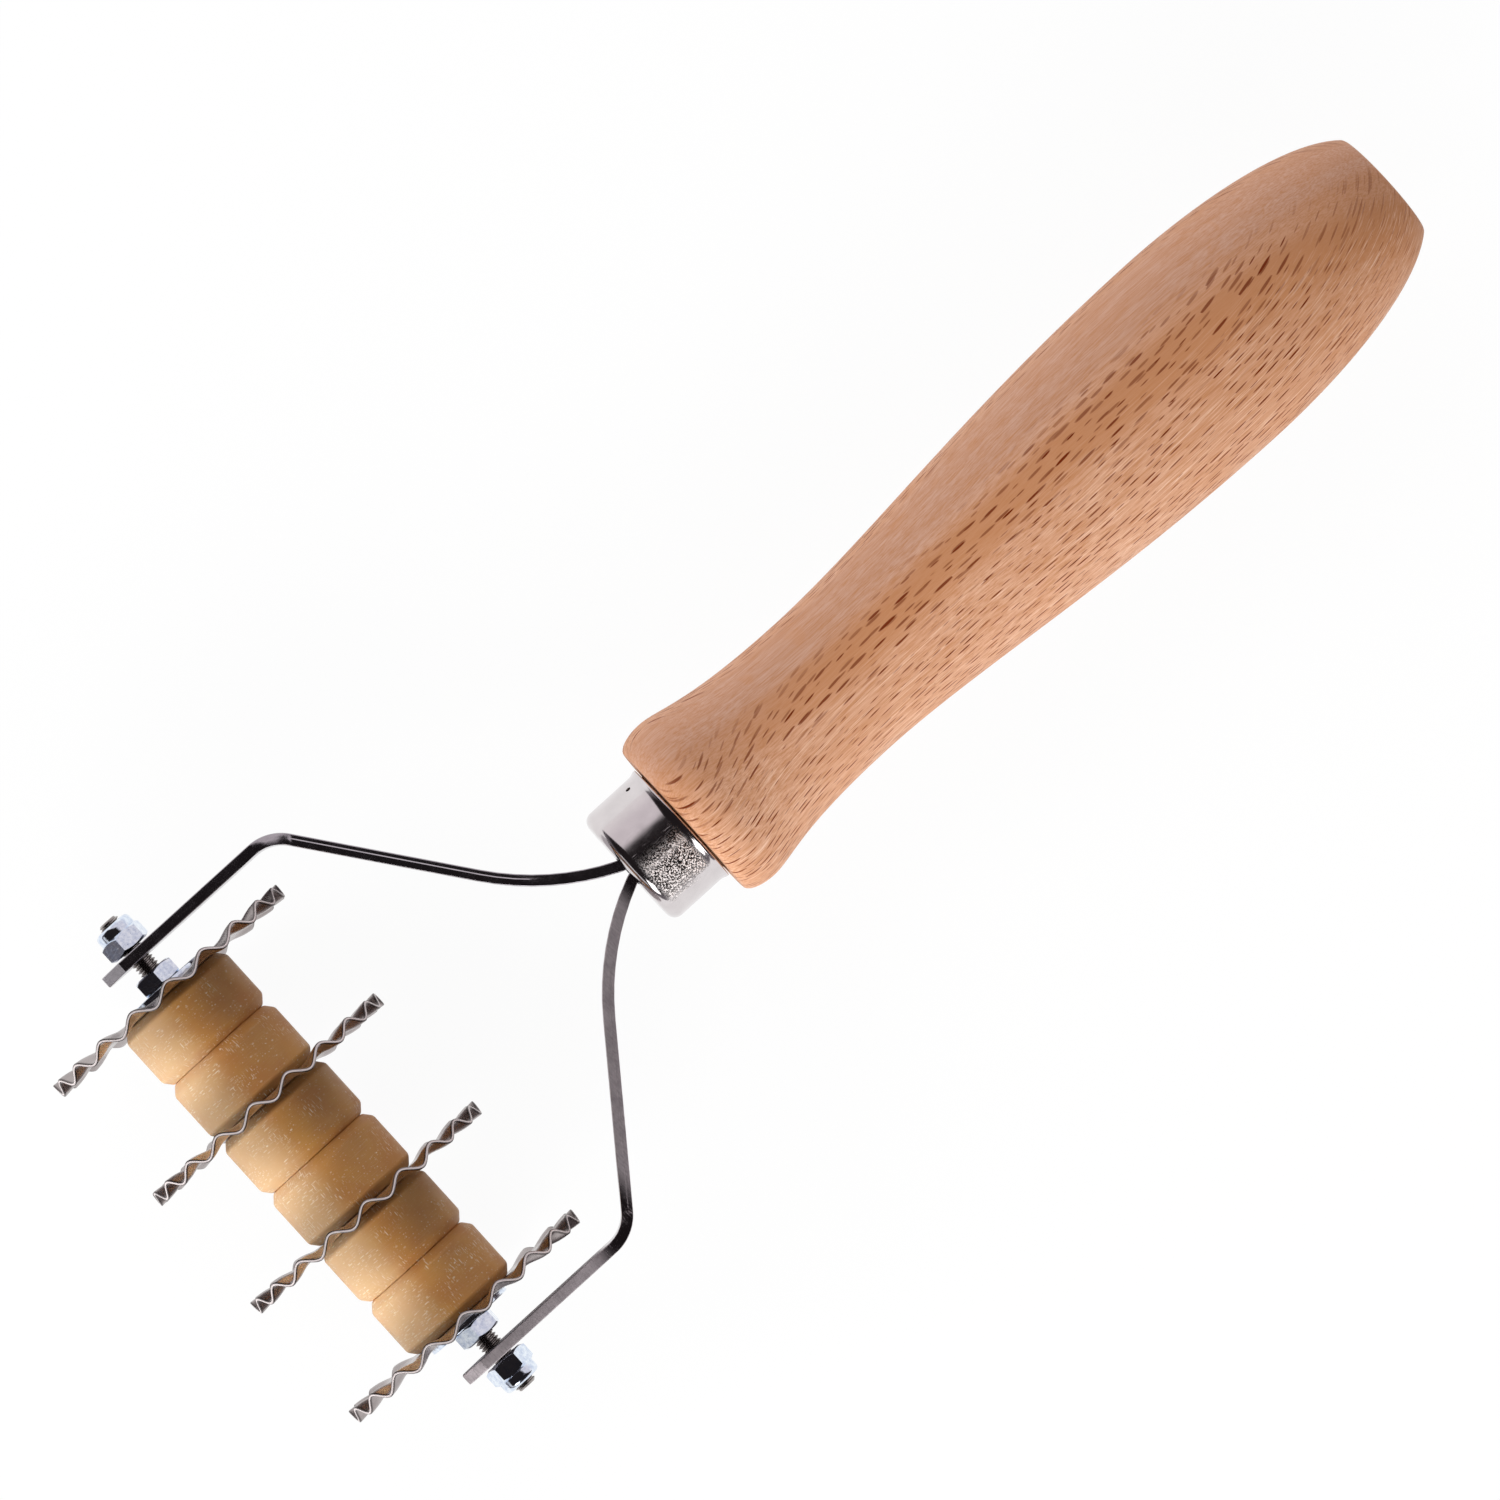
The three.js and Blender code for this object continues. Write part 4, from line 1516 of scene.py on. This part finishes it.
@dataclass
class Fork(SubAssembly):
    """Two flat strips bent on edge: straight beside the roller, then in to the handle."""

    thickness: float = 1.5
    width: float = 10
    tip_reach: float = 5.3
    tip_corner_cut: float = 3
    bend_start: float = 19.7
    fork_angle: float = math.radians(53)
    fork_radius: float = 5.5
    knee_angle: float = math.radians(24)
    sweep_radius: float = 35
    tang_radius: float = 6
    hole_radius: float = 1.7
    hole_sides: int = 40
    edge_round: float = 0.14
    edge_angle: float = 42
    bend_step: float = math.radians(4)
    shear_from: float = 0.08
    shear_to: float = 0.22
    shear_step: float = 0.111
    bend_lean: float = 0.26
    lean_steps: tuple[int, int] = (5, 5)
    settle_run: float = 0.5

    def is_tip_edge(self, edge: bmesh.types.BMEdge) -> bool:
        """Whether an edge runs across the strip's thickness at its tip.

        Args:
            edge: The edge.

        Returns:
            Whether it does.
        """
        first, second = (vertex.co for vertex in edge.verts)
        at_tip = all(abs(end.x + self.tip_reach) < MERGE for end in (first, second))
        return at_tip and abs(first.z - second.z) < MERGE

    def bend(self, at: Vector, heading: float, turn: float, radius: float) -> tuple[Vector, float]:
        """Bends the strip on from its selected end.

        Args:
            at: Where the end's middle stands.
            heading: The direction that it runs in, from X towards Y.
            turn: The angle of the bend, to the left where it is positive.
            radius: The radius of the bend's middle line.

        Returns:
            The place and the heading of the new end.
        """
        left = Vector((-math.sin(heading), math.cos(heading), 0)) * math.copysign(radius, turn)
        centre = at + left
        steps = math.ceil(abs(turn) / self.bend_step)
        bpy.ops.mesh.spin(steps=steps, angle=-turn, center=centre, axis=(0, 0, 1))
        return centre - Matrix.Rotation(turn, 3, "Z") @ left, heading + turn

    def run(self, at: Vector, heading: float, length: float) -> tuple[Vector, float]:
        """Lengthens the strip straight on from its selected end.

        Args:
            at: Where the end's middle stands.
            heading: The direction that it runs in, from X towards Y.
            length: How much longer it gets.

        Returns:
            The place and the heading of the new end.
        """
        step = Vector((math.cos(heading), math.sin(heading), 0)) * length
        bpy.ops.mesh.extrude_region_move(TRANSFORM_OT_translate={"value": step})
        return at + step, heading

    def diagonal(self, middle: float) -> float:
        """Length of the straight stretch between the bends, from how far the strip has to come in.

        Args:
            middle: How far out the strip's middle line starts.

        Returns:
            The length.
        """
        drop = self.fork_radius * (1 - math.cos(self.fork_angle))
        drop += self.sweep_radius * (math.cos(self.knee_angle) - math.cos(self.fork_angle))
        drop += self.tang_radius * (1 - math.cos(self.knee_angle))
        return (middle - self.thickness / 2 - drop) / math.sin(self.fork_angle)

    def shear(self, arm: bpy.types.Object, at: Vector, heading: float, share: float) -> None:
        """Draws the outer part of the strip's sheared edges in at its end, and selects the end again.

        Args:
            arm: The strip, in edit mode.
            at: Where the end's middle stands.
            heading: The direction that the strip runs in there.
            share: What the part's height is multiplied by.
        """
        ahead = Vector((math.cos(heading), math.sin(heading), 0))
        outward = Vector((-math.sin(heading), math.cos(heading), 0))

        def at_end(vertex: bmesh.types.BMVert) -> bool:
            """Whether a vertex belongs to the strip's end."""
            return abs((vertex.co - at).dot(ahead)) < NEAR

        def sheared(vertex: bmesh.types.BMVert) -> bool:
            """Whether a vertex belongs to the end's outer part."""
            return at_end(vertex) and (vertex.co - at).dot(outward) > self.shear_to - NEAR

        pick(arm, Pick.VERTS, sheared)
        bpy.ops.transform.resize(value=(1, 1, share), center_override=at)
        pick(arm, Pick.FACES, lambda face: all(map(at_end, face.verts)))

    def lean_bend(self, arm: bpy.types.Object, centre: Vector) -> None:
        """Lets the narrow sides lean outwards in the fork's bend, where the strip is stretched outside.

        Args:
            arm: The strip, in edit mode.
            centre: The middle of the bend.
        """
        steps = math.ceil(self.fork_angle / self.bend_step)
        half = self.thickness / 2
        for step in range(1, steps):
            share = min(1, step / self.lean_steps[0], (steps - step) / self.lean_steps[1])
            angle = self.fork_angle * step / steps
            way = Vector((math.sin(angle), math.cos(angle)))
            for across in (-half, self.shear_from, self.shear_to, half):
                spot = centre.xy + way * (self.fork_radius + across)
                pick(arm, Pick.VERTS, lambda v: (v.co.xy - spot).length < NEAR)
                rise = 1 - 2 * share * self.bend_lean * across / self.width
                bpy.ops.transform.resize(value=(1, 1, rise), center_override=centre)

    def strip(self) -> bpy.types.Object:
        """Models the left strip from its tip to the end of its tang.

        Returns:
            The strip.
        """
        high = tool_box("arm_left")[1]
        middle = high.y - self.thickness / 2
        length = self.tip_reach + self.bend_start
        bpy.ops.object.select_all(action="DESELECT")
        bpy.ops.mesh.primitive_cube_add(size=2, location=(length / 2 - self.tip_reach, middle, 0))
        arm = started("fork_strip_left")
        arm.scale = (length / 2, self.thickness / 2, self.width / 2)
        bpy.ops.object.transform_apply(location=True, rotation=True, scale=True)
        with editing(arm):
            pick(arm, Pick.EDGES, self.is_tip_edge)
            bpy.ops.mesh.bevel(offset=self.tip_corner_cut, segments=1, affect="EDGES")
            for across in (self.shear_from, self.shear_to):
                bpy.ops.mesh.select_all(action="SELECT")
                bpy.ops.mesh.bisect(plane_co=(0, middle + across, 0), plane_no=Axis.AXLE.value)
            pick(arm, Pick.FACES, lambda face: face.normal.x > 0.9)
            at, heading = Vector((self.bend_start, middle, 0)), 0.0
            at, heading = self.bend(at, heading, -self.fork_angle, self.fork_radius)
            drawn_in = 1 - 2 * self.shear_step / self.width
            self.shear(arm, at, heading, drawn_in)
            at, heading = self.run(at, heading, self.settle_run)
            at, heading = self.run(at, heading, self.diagonal(middle) - self.settle_run)
            half_sweep = (self.fork_angle - self.knee_angle) / 2
            at, heading = self.bend(at, heading, half_sweep, self.sweep_radius)
            self.shear(arm, at, heading, 1 / drawn_in)
            at, heading = self.bend(at, heading, half_sweep, self.sweep_radius)
            at, heading = self.bend(at, heading, self.knee_angle, self.tang_radius)
            self.run(at, heading, high.x - at.x)
            self.lean_bend(arm, Vector((self.bend_start, middle - self.fork_radius, 0)))
        tidy_skin(arm)
        bpy.ops.object.select_all(action="DESELECT")
        bpy.ops.mesh.primitive_cylinder_add(
            vertices=self.hole_sides,
            radius=self.hole_radius,
            depth=4 * self.thickness,
            location=(0, middle, 0),
            rotation=(math.pi / 2, 0, 0),
        )
        shape_with(arm, started("pivot_hole"))
        soften(arm, self.edge_round, angle=self.edge_angle)
        return arm

    def build(self) -> list[Piece]:
        """Models the left strip and mirrors it for the right one.

        Returns:
            The two strips.
        """
        left = self.strip()
        right = copied(left, "fork_strip_right", Matrix.Scale(-1, 4, Axis.AXLE.value))
        tidy_skin(right)
        return [Piece(left, "arm_left", POLISHED_STRIP), Piece(right, "arm_right", BRUSHED_STRIP)]


@dataclass
class Blades(SubAssembly):
    """Four flat sheet discs, pressed into waves that swell towards the rim."""

    turns: tuple[float, ...] = (2.6, 12.8, 1.9, 0.7)
    rim: float = 19.0
    flat_radius: float = 15.0
    seat_radius: float = 8.3
    bore: float = 1.65
    sheet: float = 0.45
    waves: int = 20
    wave_height: float = 1.6
    points_per_wave: int = 4
    rings: int = 4
    smoothing: int = 3
    edge_round: float = 0.16
    edge_angle: float = 50

    def level(self, angle: float) -> float:
        """Height of the zigzag at an angle, from -1 to 1, with a crest at the top."""
        phase = self.waves * angle / math.tau
        return 1 - 4 * abs(phase - round(phase))

    def disc(self) -> bpy.types.Object:
        """Models one disc with a crest at the top.

        Returns:
            The disc.
        """
        count = self.waves * self.points_per_wave
        bpy.ops.object.select_all(action="DESELECT")
        bpy.ops.mesh.primitive_circle_add(vertices=count, radius=self.rim, rotation=(math.pi / 2, 0, 0))
        disc = started("fluted_blade")
        bpy.ops.object.transform_apply(location=True, rotation=True, scale=True)
        quarter = self.points_per_wave // 4
        sag = 1 / (3 * quarter)
        height = self.wave_height / 2 / (1 - sag)
        with editing(disc):
            for step in range(-quarter, quarter + 1):
                level = step / quarter
                pick(
                    disc,
                    Pick.VERTS,
                    lambda v: abs(self.level(math.atan2(v.co.x, v.co.z)) - level) < NEAR,
                )
                bpy.ops.transform.translate(value=(0, height * level, 0))
            bpy.ops.mesh.select_all(action="SELECT")
            steps = [1 - ring / self.rings for ring in range(self.rings + 1)]
            radii = [self.flat_radius + (self.rim - self.flat_radius) * step for step in steps]
            swells = [math.sin(math.pi / 2 * step) for step in steps]
            for (r_out, s_out), (r_in, s_in) in pairwise(zip(radii, swells)):
                self.draw_in(r_in / r_out, s_in / s_out)
            for r_out, r_in in pairwise((self.flat_radius, self.seat_radius, self.bore)):
                self.draw_in(r_in / r_out, 1)
        apply_modifier(disc, "SUBSURF", levels=self.smoothing, render_levels=self.smoothing)
        apply_modifier(disc, "SOLIDIFY", thickness=self.sheet, offset=0, use_even_offset=True)
        soften(disc, self.edge_round, segments=2, angle=self.edge_angle)
        tidy_skin(disc)
        return disc

    @staticmethod
    def draw_in(share: float, wave_share: float) -> None:
        """Extrudes the selected ring towards the axle, to a share of its radius and of its waves."""
        bpy.ops.mesh.extrude_edges_move()
        bpy.ops.transform.resize(value=(share, wave_share, share), center_override=(0, 0, 0))

    def build(self) -> list[Piece]:
        """Models one disc and copies it to the four places.

        Returns:
            The four blades.
        """
        disc = self.disc()
        pieces = []
        for number, turn in enumerate(self.turns, start=1):
            node = f"blade_{number}"
            low, high = tool_box(node)
            placement = Matrix.Translation((0, (low.y + high.y) / 2, 0))
            placement @= Matrix.Rotation(math.radians(turn), 4, "Y")
            pieces.append(Piece(copied(disc, f"fluted_blade_{number}", placement), node, BLADE_STEEL))
        bpy.data.objects.remove(disc)
        return pieces


@dataclass
class Spacers(SubAssembly):
    """Six turned plastic spacers with chamfered ends, two between each pair of blades."""

    count: int = 6
    radius: float = 8.5
    bore: float = 1.65
    chamfer_depth: float = 1.0
    chamfer_length: float = 1.2
    edge_round: float = 0.3
    edge_angle: float = 20
    sides: int = 128

    def build(self) -> list[Piece]:
        """Turns one spacer and copies it to the six places.

        Returns:
            The six spacers.
        """
        low, high = tool_box("spacer_1")
        half = (high.y - low.y) / 2
        end = self.radius - self.chamfer_depth
        straight = half - self.chamfer_length
        profile = [(-half, self.bore), (-half, end), (-straight, self.radius), (straight, self.radius)]
        profile += [(half, end), (half, self.bore), (-half, self.bore)]
        spacer = turned("turned_spacer", profile, Axis.AXLE, self.sides)
        soften(spacer, self.edge_round, angle=self.edge_angle)
        pieces = []
        for number in range(1, self.count + 1):
            node = f"spacer_{number}"
            low, high = tool_box(node)
            placement = Matrix.Translation((0, (low.y + high.y) / 2, 0))
            pieces.append(Piece(copied(spacer, f"turned_spacer_{number}", placement), node, TAN_PLASTIC))
        bpy.data.objects.remove(spacer)
        return pieces


@dataclass
class Axle(SubAssembly):
    """The threaded rod that carries the roller."""

    radius: float = 1.5
    pitch: float = 0.5
    thread_depth: float = 0.3
    crest: float = 0.07
    root: float = 0.11
    end_chamfer: float = 0.4
    spare_turns: int = 4
    sides: int = 28

    def build(self) -> list[Piece]:
        """Cuts the thread with a screw modifier, trims its ends and chamfers them.

        Returns:
            The rod.
        """
        half = tool_box("axle")[1].y
        turns = math.ceil(2 * half / self.pitch) + self.spare_turns
        start = -turns * self.pitch / 2
        flank = (self.pitch - self.crest - self.root) / 2
        bottom = self.radius - self.thread_depth
        tooth = [(0, bottom), (self.root, bottom), (self.root + flank, self.radius)]
        tooth += [(self.root + flank + self.crest, self.radius), (self.pitch, bottom)]
        along = Vector(Axis.AXLE.value)
        rod = chain("threaded_rod", [along * (start + y) + UP * r for y, r in tooth])
        apply_modifier(
            rod,
            "SCREW",
            axis="Y",
            angle=math.tau,
            screw_offset=self.pitch,
            iterations=turns,
            steps=self.sides,
            render_steps=self.sides,
            use_merge_vertices=False,
        )
        tidy_skin(rod)
        with editing(rod):
            for sign in Side:
                bpy.ops.mesh.select_all(action="SELECT")
                bpy.ops.mesh.bisect(
                    plane_co=along * half * sign.value,
                    plane_no=along * sign.value,
                    use_fill=True,
                    clear_outer=True,
                )
        tidy_skin(rod)
        reach = self.radius + self.crest
        neck = self.radius - self.end_chamfer
        slope = half - (reach - neck)
        over = half + self.crest
        sleeve = [(-over, 0), (-over, neck - self.crest), (-slope, reach), (slope, reach)]
        sleeve += [(over, neck - self.crest), (over, 0)]
        shape_with(rod, turned("end_chamfers", sleeve, Axis.AXLE, self.sides), "INTERSECT")
        tidy_skin(rod)
        return [Piece(rod, "axle", DARK_THREAD)]


@dataclass
class Fasteners(SubAssembly):
    """Washers, hex nuts, lock nuts and their nylon rings, on both sides of the roller."""

    nut_flat: float = 2.75
    nut_face: float = 2.5
    chamfer_angle: float = math.radians(30)
    bore: float = 1.6
    bore_chamfer: float = 0.3
    nut_round: float = 0.13
    nut_angle: float = 25
    lock_hex_height: float = 2.5
    collar_radius: float = 2.65
    collar_round: float = 0.7
    collar_steps: int = 6
    lip: float = 0.3
    lip_radius: float = 1.85
    recess_radius: float = 2.3
    hex_turns: Pair = (2.5, -6.0)
    lock_turns: Pair = (-12.3, 26.8)
    washer_round: float = 0.12
    washer_bore: float = 1.65
    sides: int = 72

    @property
    def corner(self) -> float:
        """Radius of a nut's corners."""
        return self.nut_flat * 2 / math.sqrt(3)

    @property
    def chamfer(self) -> float:
        """How far the rounding of the corners reaches from a nut's face."""
        return (self.corner - self.nut_face) * math.tan(self.chamfer_angle)

    def hexagon(self, name: str, height: float, rounding: Sequence[Pair]) -> bpy.types.Object:
        """Makes a nut: a hexagonal bar and a turned shape, of which it is what they share.

        Args:
            name: Name of the new piece.
            height: Height of the bar, whose foot is at the origin.
            rounding: Profile of the turned shape, a closed ring.

        Returns:
            The nut, with its axis along the axle and a corner at the top.
        """
        bpy.ops.object.select_all(action="DESELECT")
        bpy.ops.mesh.primitive_cylinder_add(
            vertices=6,
            radius=self.corner,
            depth=height,
            location=(0, height / 2, 0),
            rotation=(math.pi / 2, 0, 0),
        )
        nut = started(name)
        bpy.ops.object.transform_apply(location=True, rotation=True, scale=True)
        shape_with(nut, turned("nut_rounding", rounding, Axis.AXLE, self.sides), "INTERSECT")
        soften(nut, self.nut_round, angle=self.nut_angle)
        tidy_skin(nut)
        return nut

    def foot(self) -> list[Pair]:
        """The profile of a nut's foot, from its bore to its corners.

        Returns:
            Pairs of the height and the radius.
        """
        return [
            (self.bore_chamfer, self.bore),
            (0, self.bore + self.bore_chamfer),
            (0, self.nut_face),
            (self.chamfer, self.corner),
        ]

    def hex_nut(self) -> bpy.types.Object:
        """Makes a plain nut.

        Returns:
            The nut, with its foot at the origin.
        """
        low, high = tool_box("hex_nut_left")
        height = high.y - low.y
        profile = self.foot()
        profile += [(height - along, radius) for along, radius in reversed(self.foot())]
        profile.append(profile[0])
        return self.hexagon("hex_nut", height, profile)

    def lock_nut(self) -> bpy.types.Object:
        """Makes a lock nut, with its round collar hollowed for the nylon ring.

        Returns:
            The nut, with its foot at the origin.
        """
        low, high = tool_box("lock_nut_left")
        height = high.y - low.y
        shoulder = self.lock_hex_height
        rounding = self.collar_round
        profile = self.foot()
        profile += [(shoulder - self.chamfer, self.corner), (shoulder, self.collar_radius)]
        profile += arc(
            (height - rounding, self.collar_radius - rounding), (rounding, rounding), 90, 0, self.collar_steps
        )
        profile += [(height, self.lip_radius), (height - self.lip, self.lip_radius)]
        profile += [(height - self.lip, self.recess_radius), (shoulder, self.recess_radius)]
        profile += [(shoulder, self.bore), profile[0]]
        return self.hexagon("lock_nut", height, profile)

    def ring(self, name: str, node: str, bore: float, rounding: float) -> bpy.types.Object:
        """Turns a flat ring as high and as wide as a solid.

        Args:
            name: Name of the new piece.
            node: The solid's node.
            bore: Radius of the ring's hole.
            rounding: Width of its rounded edges.

        Returns:
            The ring, with its foot at the origin.
        """
        low, high = tool_box(node)
        height = high.y - low.y
        profile = [(0, bore), (0, high.z), (height, high.z), (height, bore), (0, bore)]
        ring = turned(name, profile, Axis.AXLE, self.sides)
        soften(ring, rounding)
        return ring

    def placed(self, side: Side, node: str, turn: float = 0) -> Matrix:
        """Where a fastener's foot stands on one side, facing outwards.

        Args:
            side: The side.
            node: Name of the fastener's node, without the side.
            turn: How far it is turned about the axle, in degrees.

        Returns:
            The placement in the tool's frame.
        """
        low, high = tool_box(side.node(node))
        foot = low.y if side is Side.LEFT else high.y
        facing = 0 if side is Side.LEFT else math.pi
        turned_by = Matrix.Rotation(math.radians(turn) * side.value, 4, "Y")
        return Matrix.Translation((0, foot, 0)) @ Matrix.Rotation(facing, 4, "Z") @ turned_by

    def build(self) -> list[Piece]:
        """Makes each fastener once and copies it to both sides.

        Returns:
            All the fasteners.
        """
        rounding = self.washer_round
        patterns = {
            "washer": (self.ring("plain_washer", "washer_left", self.washer_bore, rounding), ZINC),
            "hex_nut": (self.hex_nut(), ZINC),
            "lock_nut": (self.lock_nut(), ZINC),
            "lock_nut_insert": (self.ring("nylon_ring", "lock_nut_insert_left", self.bore, rounding), NYLON),
        }
        turns = {"hex_nut": self.hex_turns, "lock_nut": self.lock_turns}
        pieces = []
        for node, (pattern, finish) in patterns.items():
            base = pattern.name
            for side, turn in zip(Side, turns.get(node, (0, 0))):
                shape = copied(pattern, f"{base}_{side.name.lower()}_piece", self.placed(side, node, turn))
                pieces.append(Piece(shape, side.node(node), finish))
            bpy.data.objects.remove(pattern)
        return pieces


@dataclass(frozen=True)
class Lamp:
    """A soft lamp a metre from the object: the way to it, its size in metres and its power in watts.

    A mirrored lamp shows in reflections.
    """

    name: str
    way: tuple[float, float, float]
    size: Pair
    power: float
    mirrored: bool = False

    def hang(self) -> None:
        """Hangs the lamp, facing the object."""
        place = Vector(self.way).normalized()
        turn = place.to_track_quat("Z", "Y").to_euler()
        bpy.ops.object.light_add(type="AREA", location=place, rotation=turn)
        lamp = bpy.context.object
        lamp.name = self.name
        lamp.data.shape = "RECTANGLE"
        lamp.data.size, lamp.data.size_y = self.size
        lamp.data.energy = self.power
        lamp.visible_glossy = self.mirrored


@dataclass
class Studio:
    """A white floor, soft light from the far side, and a camera that looks straight down."""

    picture_pixels: float = 1500
    pixels_per_mm: float = 7.9
    handle_slope: float = math.radians(42.25)
    aim: tuple[float, float, float] = (74.8, 0.98, 0.0)
    camera_distance: float = 1.40
    camera_clip: Pair = (0.05, 50)
    sensor: float = 36
    floor_size: float = 8.0
    floor_drop: float = 0.0004
    floor_colour: Colour = (0.92, 0.92, 0.92)
    floor_roughness: float = 0.9
    floor_glow: float = 0.95
    sky_bright: Colour = (0.78, 0.73, 0.76)
    sky_rim: Colour = (0.94, 0.91, 0.92)
    sky_rim_edge: Pair = (0.5, 0.0)
    sky_dark: Colour = (0.016, 0.013, 0.014)
    sky_low: Colour = (0.15, 0.135, 0.15)
    sky_turn: float = math.radians(51)
    sky_edge: Pair = (0.31, 0.42)
    sky_low_edge: Pair = (0.38, 0.12)
    lamps: tuple[Lamp, ...] = (
        Lamp("left_far_lamp", (-0.87, 0.5, 0.5), (0.4, 0.4), 5.0),
        Lamp("left_near_lamp", (-0.87, -0.5, 0.5), (0.4, 0.4), 6.5),
        Lamp("left_strip", (-1.0, -0.1, 0.31), (0.9, 0.2), 0.35, mirrored=True),
        Lamp("right_lamp", (-0.15, -1.0, 0.42), (0.7, 0.7), 5.5),
        Lamp("near_lamp", (-0.62, -0.78, 0.55), (0.45, 0.45), 2.0, mirrored=True),
        Lamp("far_lamp", (0.2, 1.0, 0.6), (1.0, 1.0), 3.5),
    )

    @property
    def far_side(self) -> Vector:
        """The level direction of the room's bright side, up in the picture and a little to its right."""
        return Vector((math.sin(self.sky_turn), math.cos(self.sky_turn), 0))

    def floor(self) -> None:
        """Lays the floor: white to the camera and in reflections, with the object's shadow."""
        bpy.ops.object.select_all(action="DESELECT")
        bpy.ops.mesh.primitive_plane_add(size=self.floor_size, location=(0, 0, -self.floor_drop))
        floor = started("studio_floor")
        material = bpy.data.materials.new("studio_floor")
        material.use_nodes = True
        bench = Bench(material.node_tree)
        shader = material.node_tree.nodes["Principled BSDF"]
        bench.feed(shader.inputs["Base Color"], self.floor_colour)
        shader.inputs["Roughness"].default_value = self.floor_roughness
        shader.inputs["Specular IOR Level"].default_value = 0.0
        path = bench.add("LightPath").outputs
        seen = bench.math("MAXIMUM", path["Is Camera Ray"], path["Is Glossy Ray"])
        seen = bench.math("MAXIMUM", seen, path["Is Transmission Ray"])
        glow = bench.add("Emission", {"Color": (1, 1, 1), "Strength": 1.0}).outputs["Emission"]
        share = bench.math("MULTIPLY", seen, self.floor_glow)
        mixed = bench.add("MixShader", {0: share, 1: shader.outputs["BSDF"], 2: glow}).outputs["Shader"]
        bench.feed(material.node_tree.nodes["Material Output"].inputs["Surface"], mixed)
        floor.data.materials.append(material)

    def sky(self) -> None:
        """Lights the room: bright on the far side, dark overhead and near, and white to the camera."""
        world = bpy.data.worlds.new("studio")
        world.use_nodes = True
        bpy.context.scene.world = world
        bench = Bench(world.node_tree)
        towards = bench.add("TexCoord").outputs["Generated"]
        far = bench.measure("DOT_PRODUCT", towards, self.far_side)
        height = bench.split(towards)[2]
        near = bench.blend(bench.span(height, *self.sky_low_edge), self.sky_dark, self.sky_low)
        bright = bench.blend(bench.span(height, *self.sky_rim_edge), self.sky_bright, self.sky_rim)
        room = bench.blend(bench.span(far, *self.sky_edge), near, bright)
        seen = bench.add("LightPath").outputs["Is Camera Ray"]
        background = world.node_tree.nodes["Background"]
        bench.feed(background.inputs["Color"], bench.blend(seen, room, (1, 1, 1)))

    def camera(self) -> None:
        """Hangs the camera over the picture's middle, turned so that the handle runs up to the right."""
        target = TOOL @ Vector(self.aim)
        place = target + UP * self.camera_distance
        bpy.ops.object.camera_add(location=place, rotation=(0, 0, -self.handle_slope))
        camera = bpy.context.object
        width = self.picture_pixels / self.pixels_per_mm * MM
        camera.data.sensor_width = self.sensor
        camera.data.lens = self.sensor * self.camera_distance / width
        camera.data.clip_start, camera.data.clip_end = self.camera_clip
        bpy.context.scene.camera = camera

    def build(self) -> None:
        """Sets up the floor, the light and the camera."""
        bpy.context.scene.view_settings.view_transform = "Standard"
        self.camera()
        self.floor()
        self.sky()
        for lamp in self.lamps:
            lamp.hang()


def main() -> None:
    """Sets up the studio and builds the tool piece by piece."""
    logging.basicConfig(level=logging.INFO, format="%(message)s")
    Studio().build()
    effects = Effects()
    wardrobe = {finish: finish.material(effects) for finish in FINISHES}
    for assembly in (Handle(), Ferrule(), Fork(), Blades(), Spacers(), Axle(), Fasteners()):
        assembly.dress(assembly.build(), wardrobe)


if __name__ == "__main__":
    main()
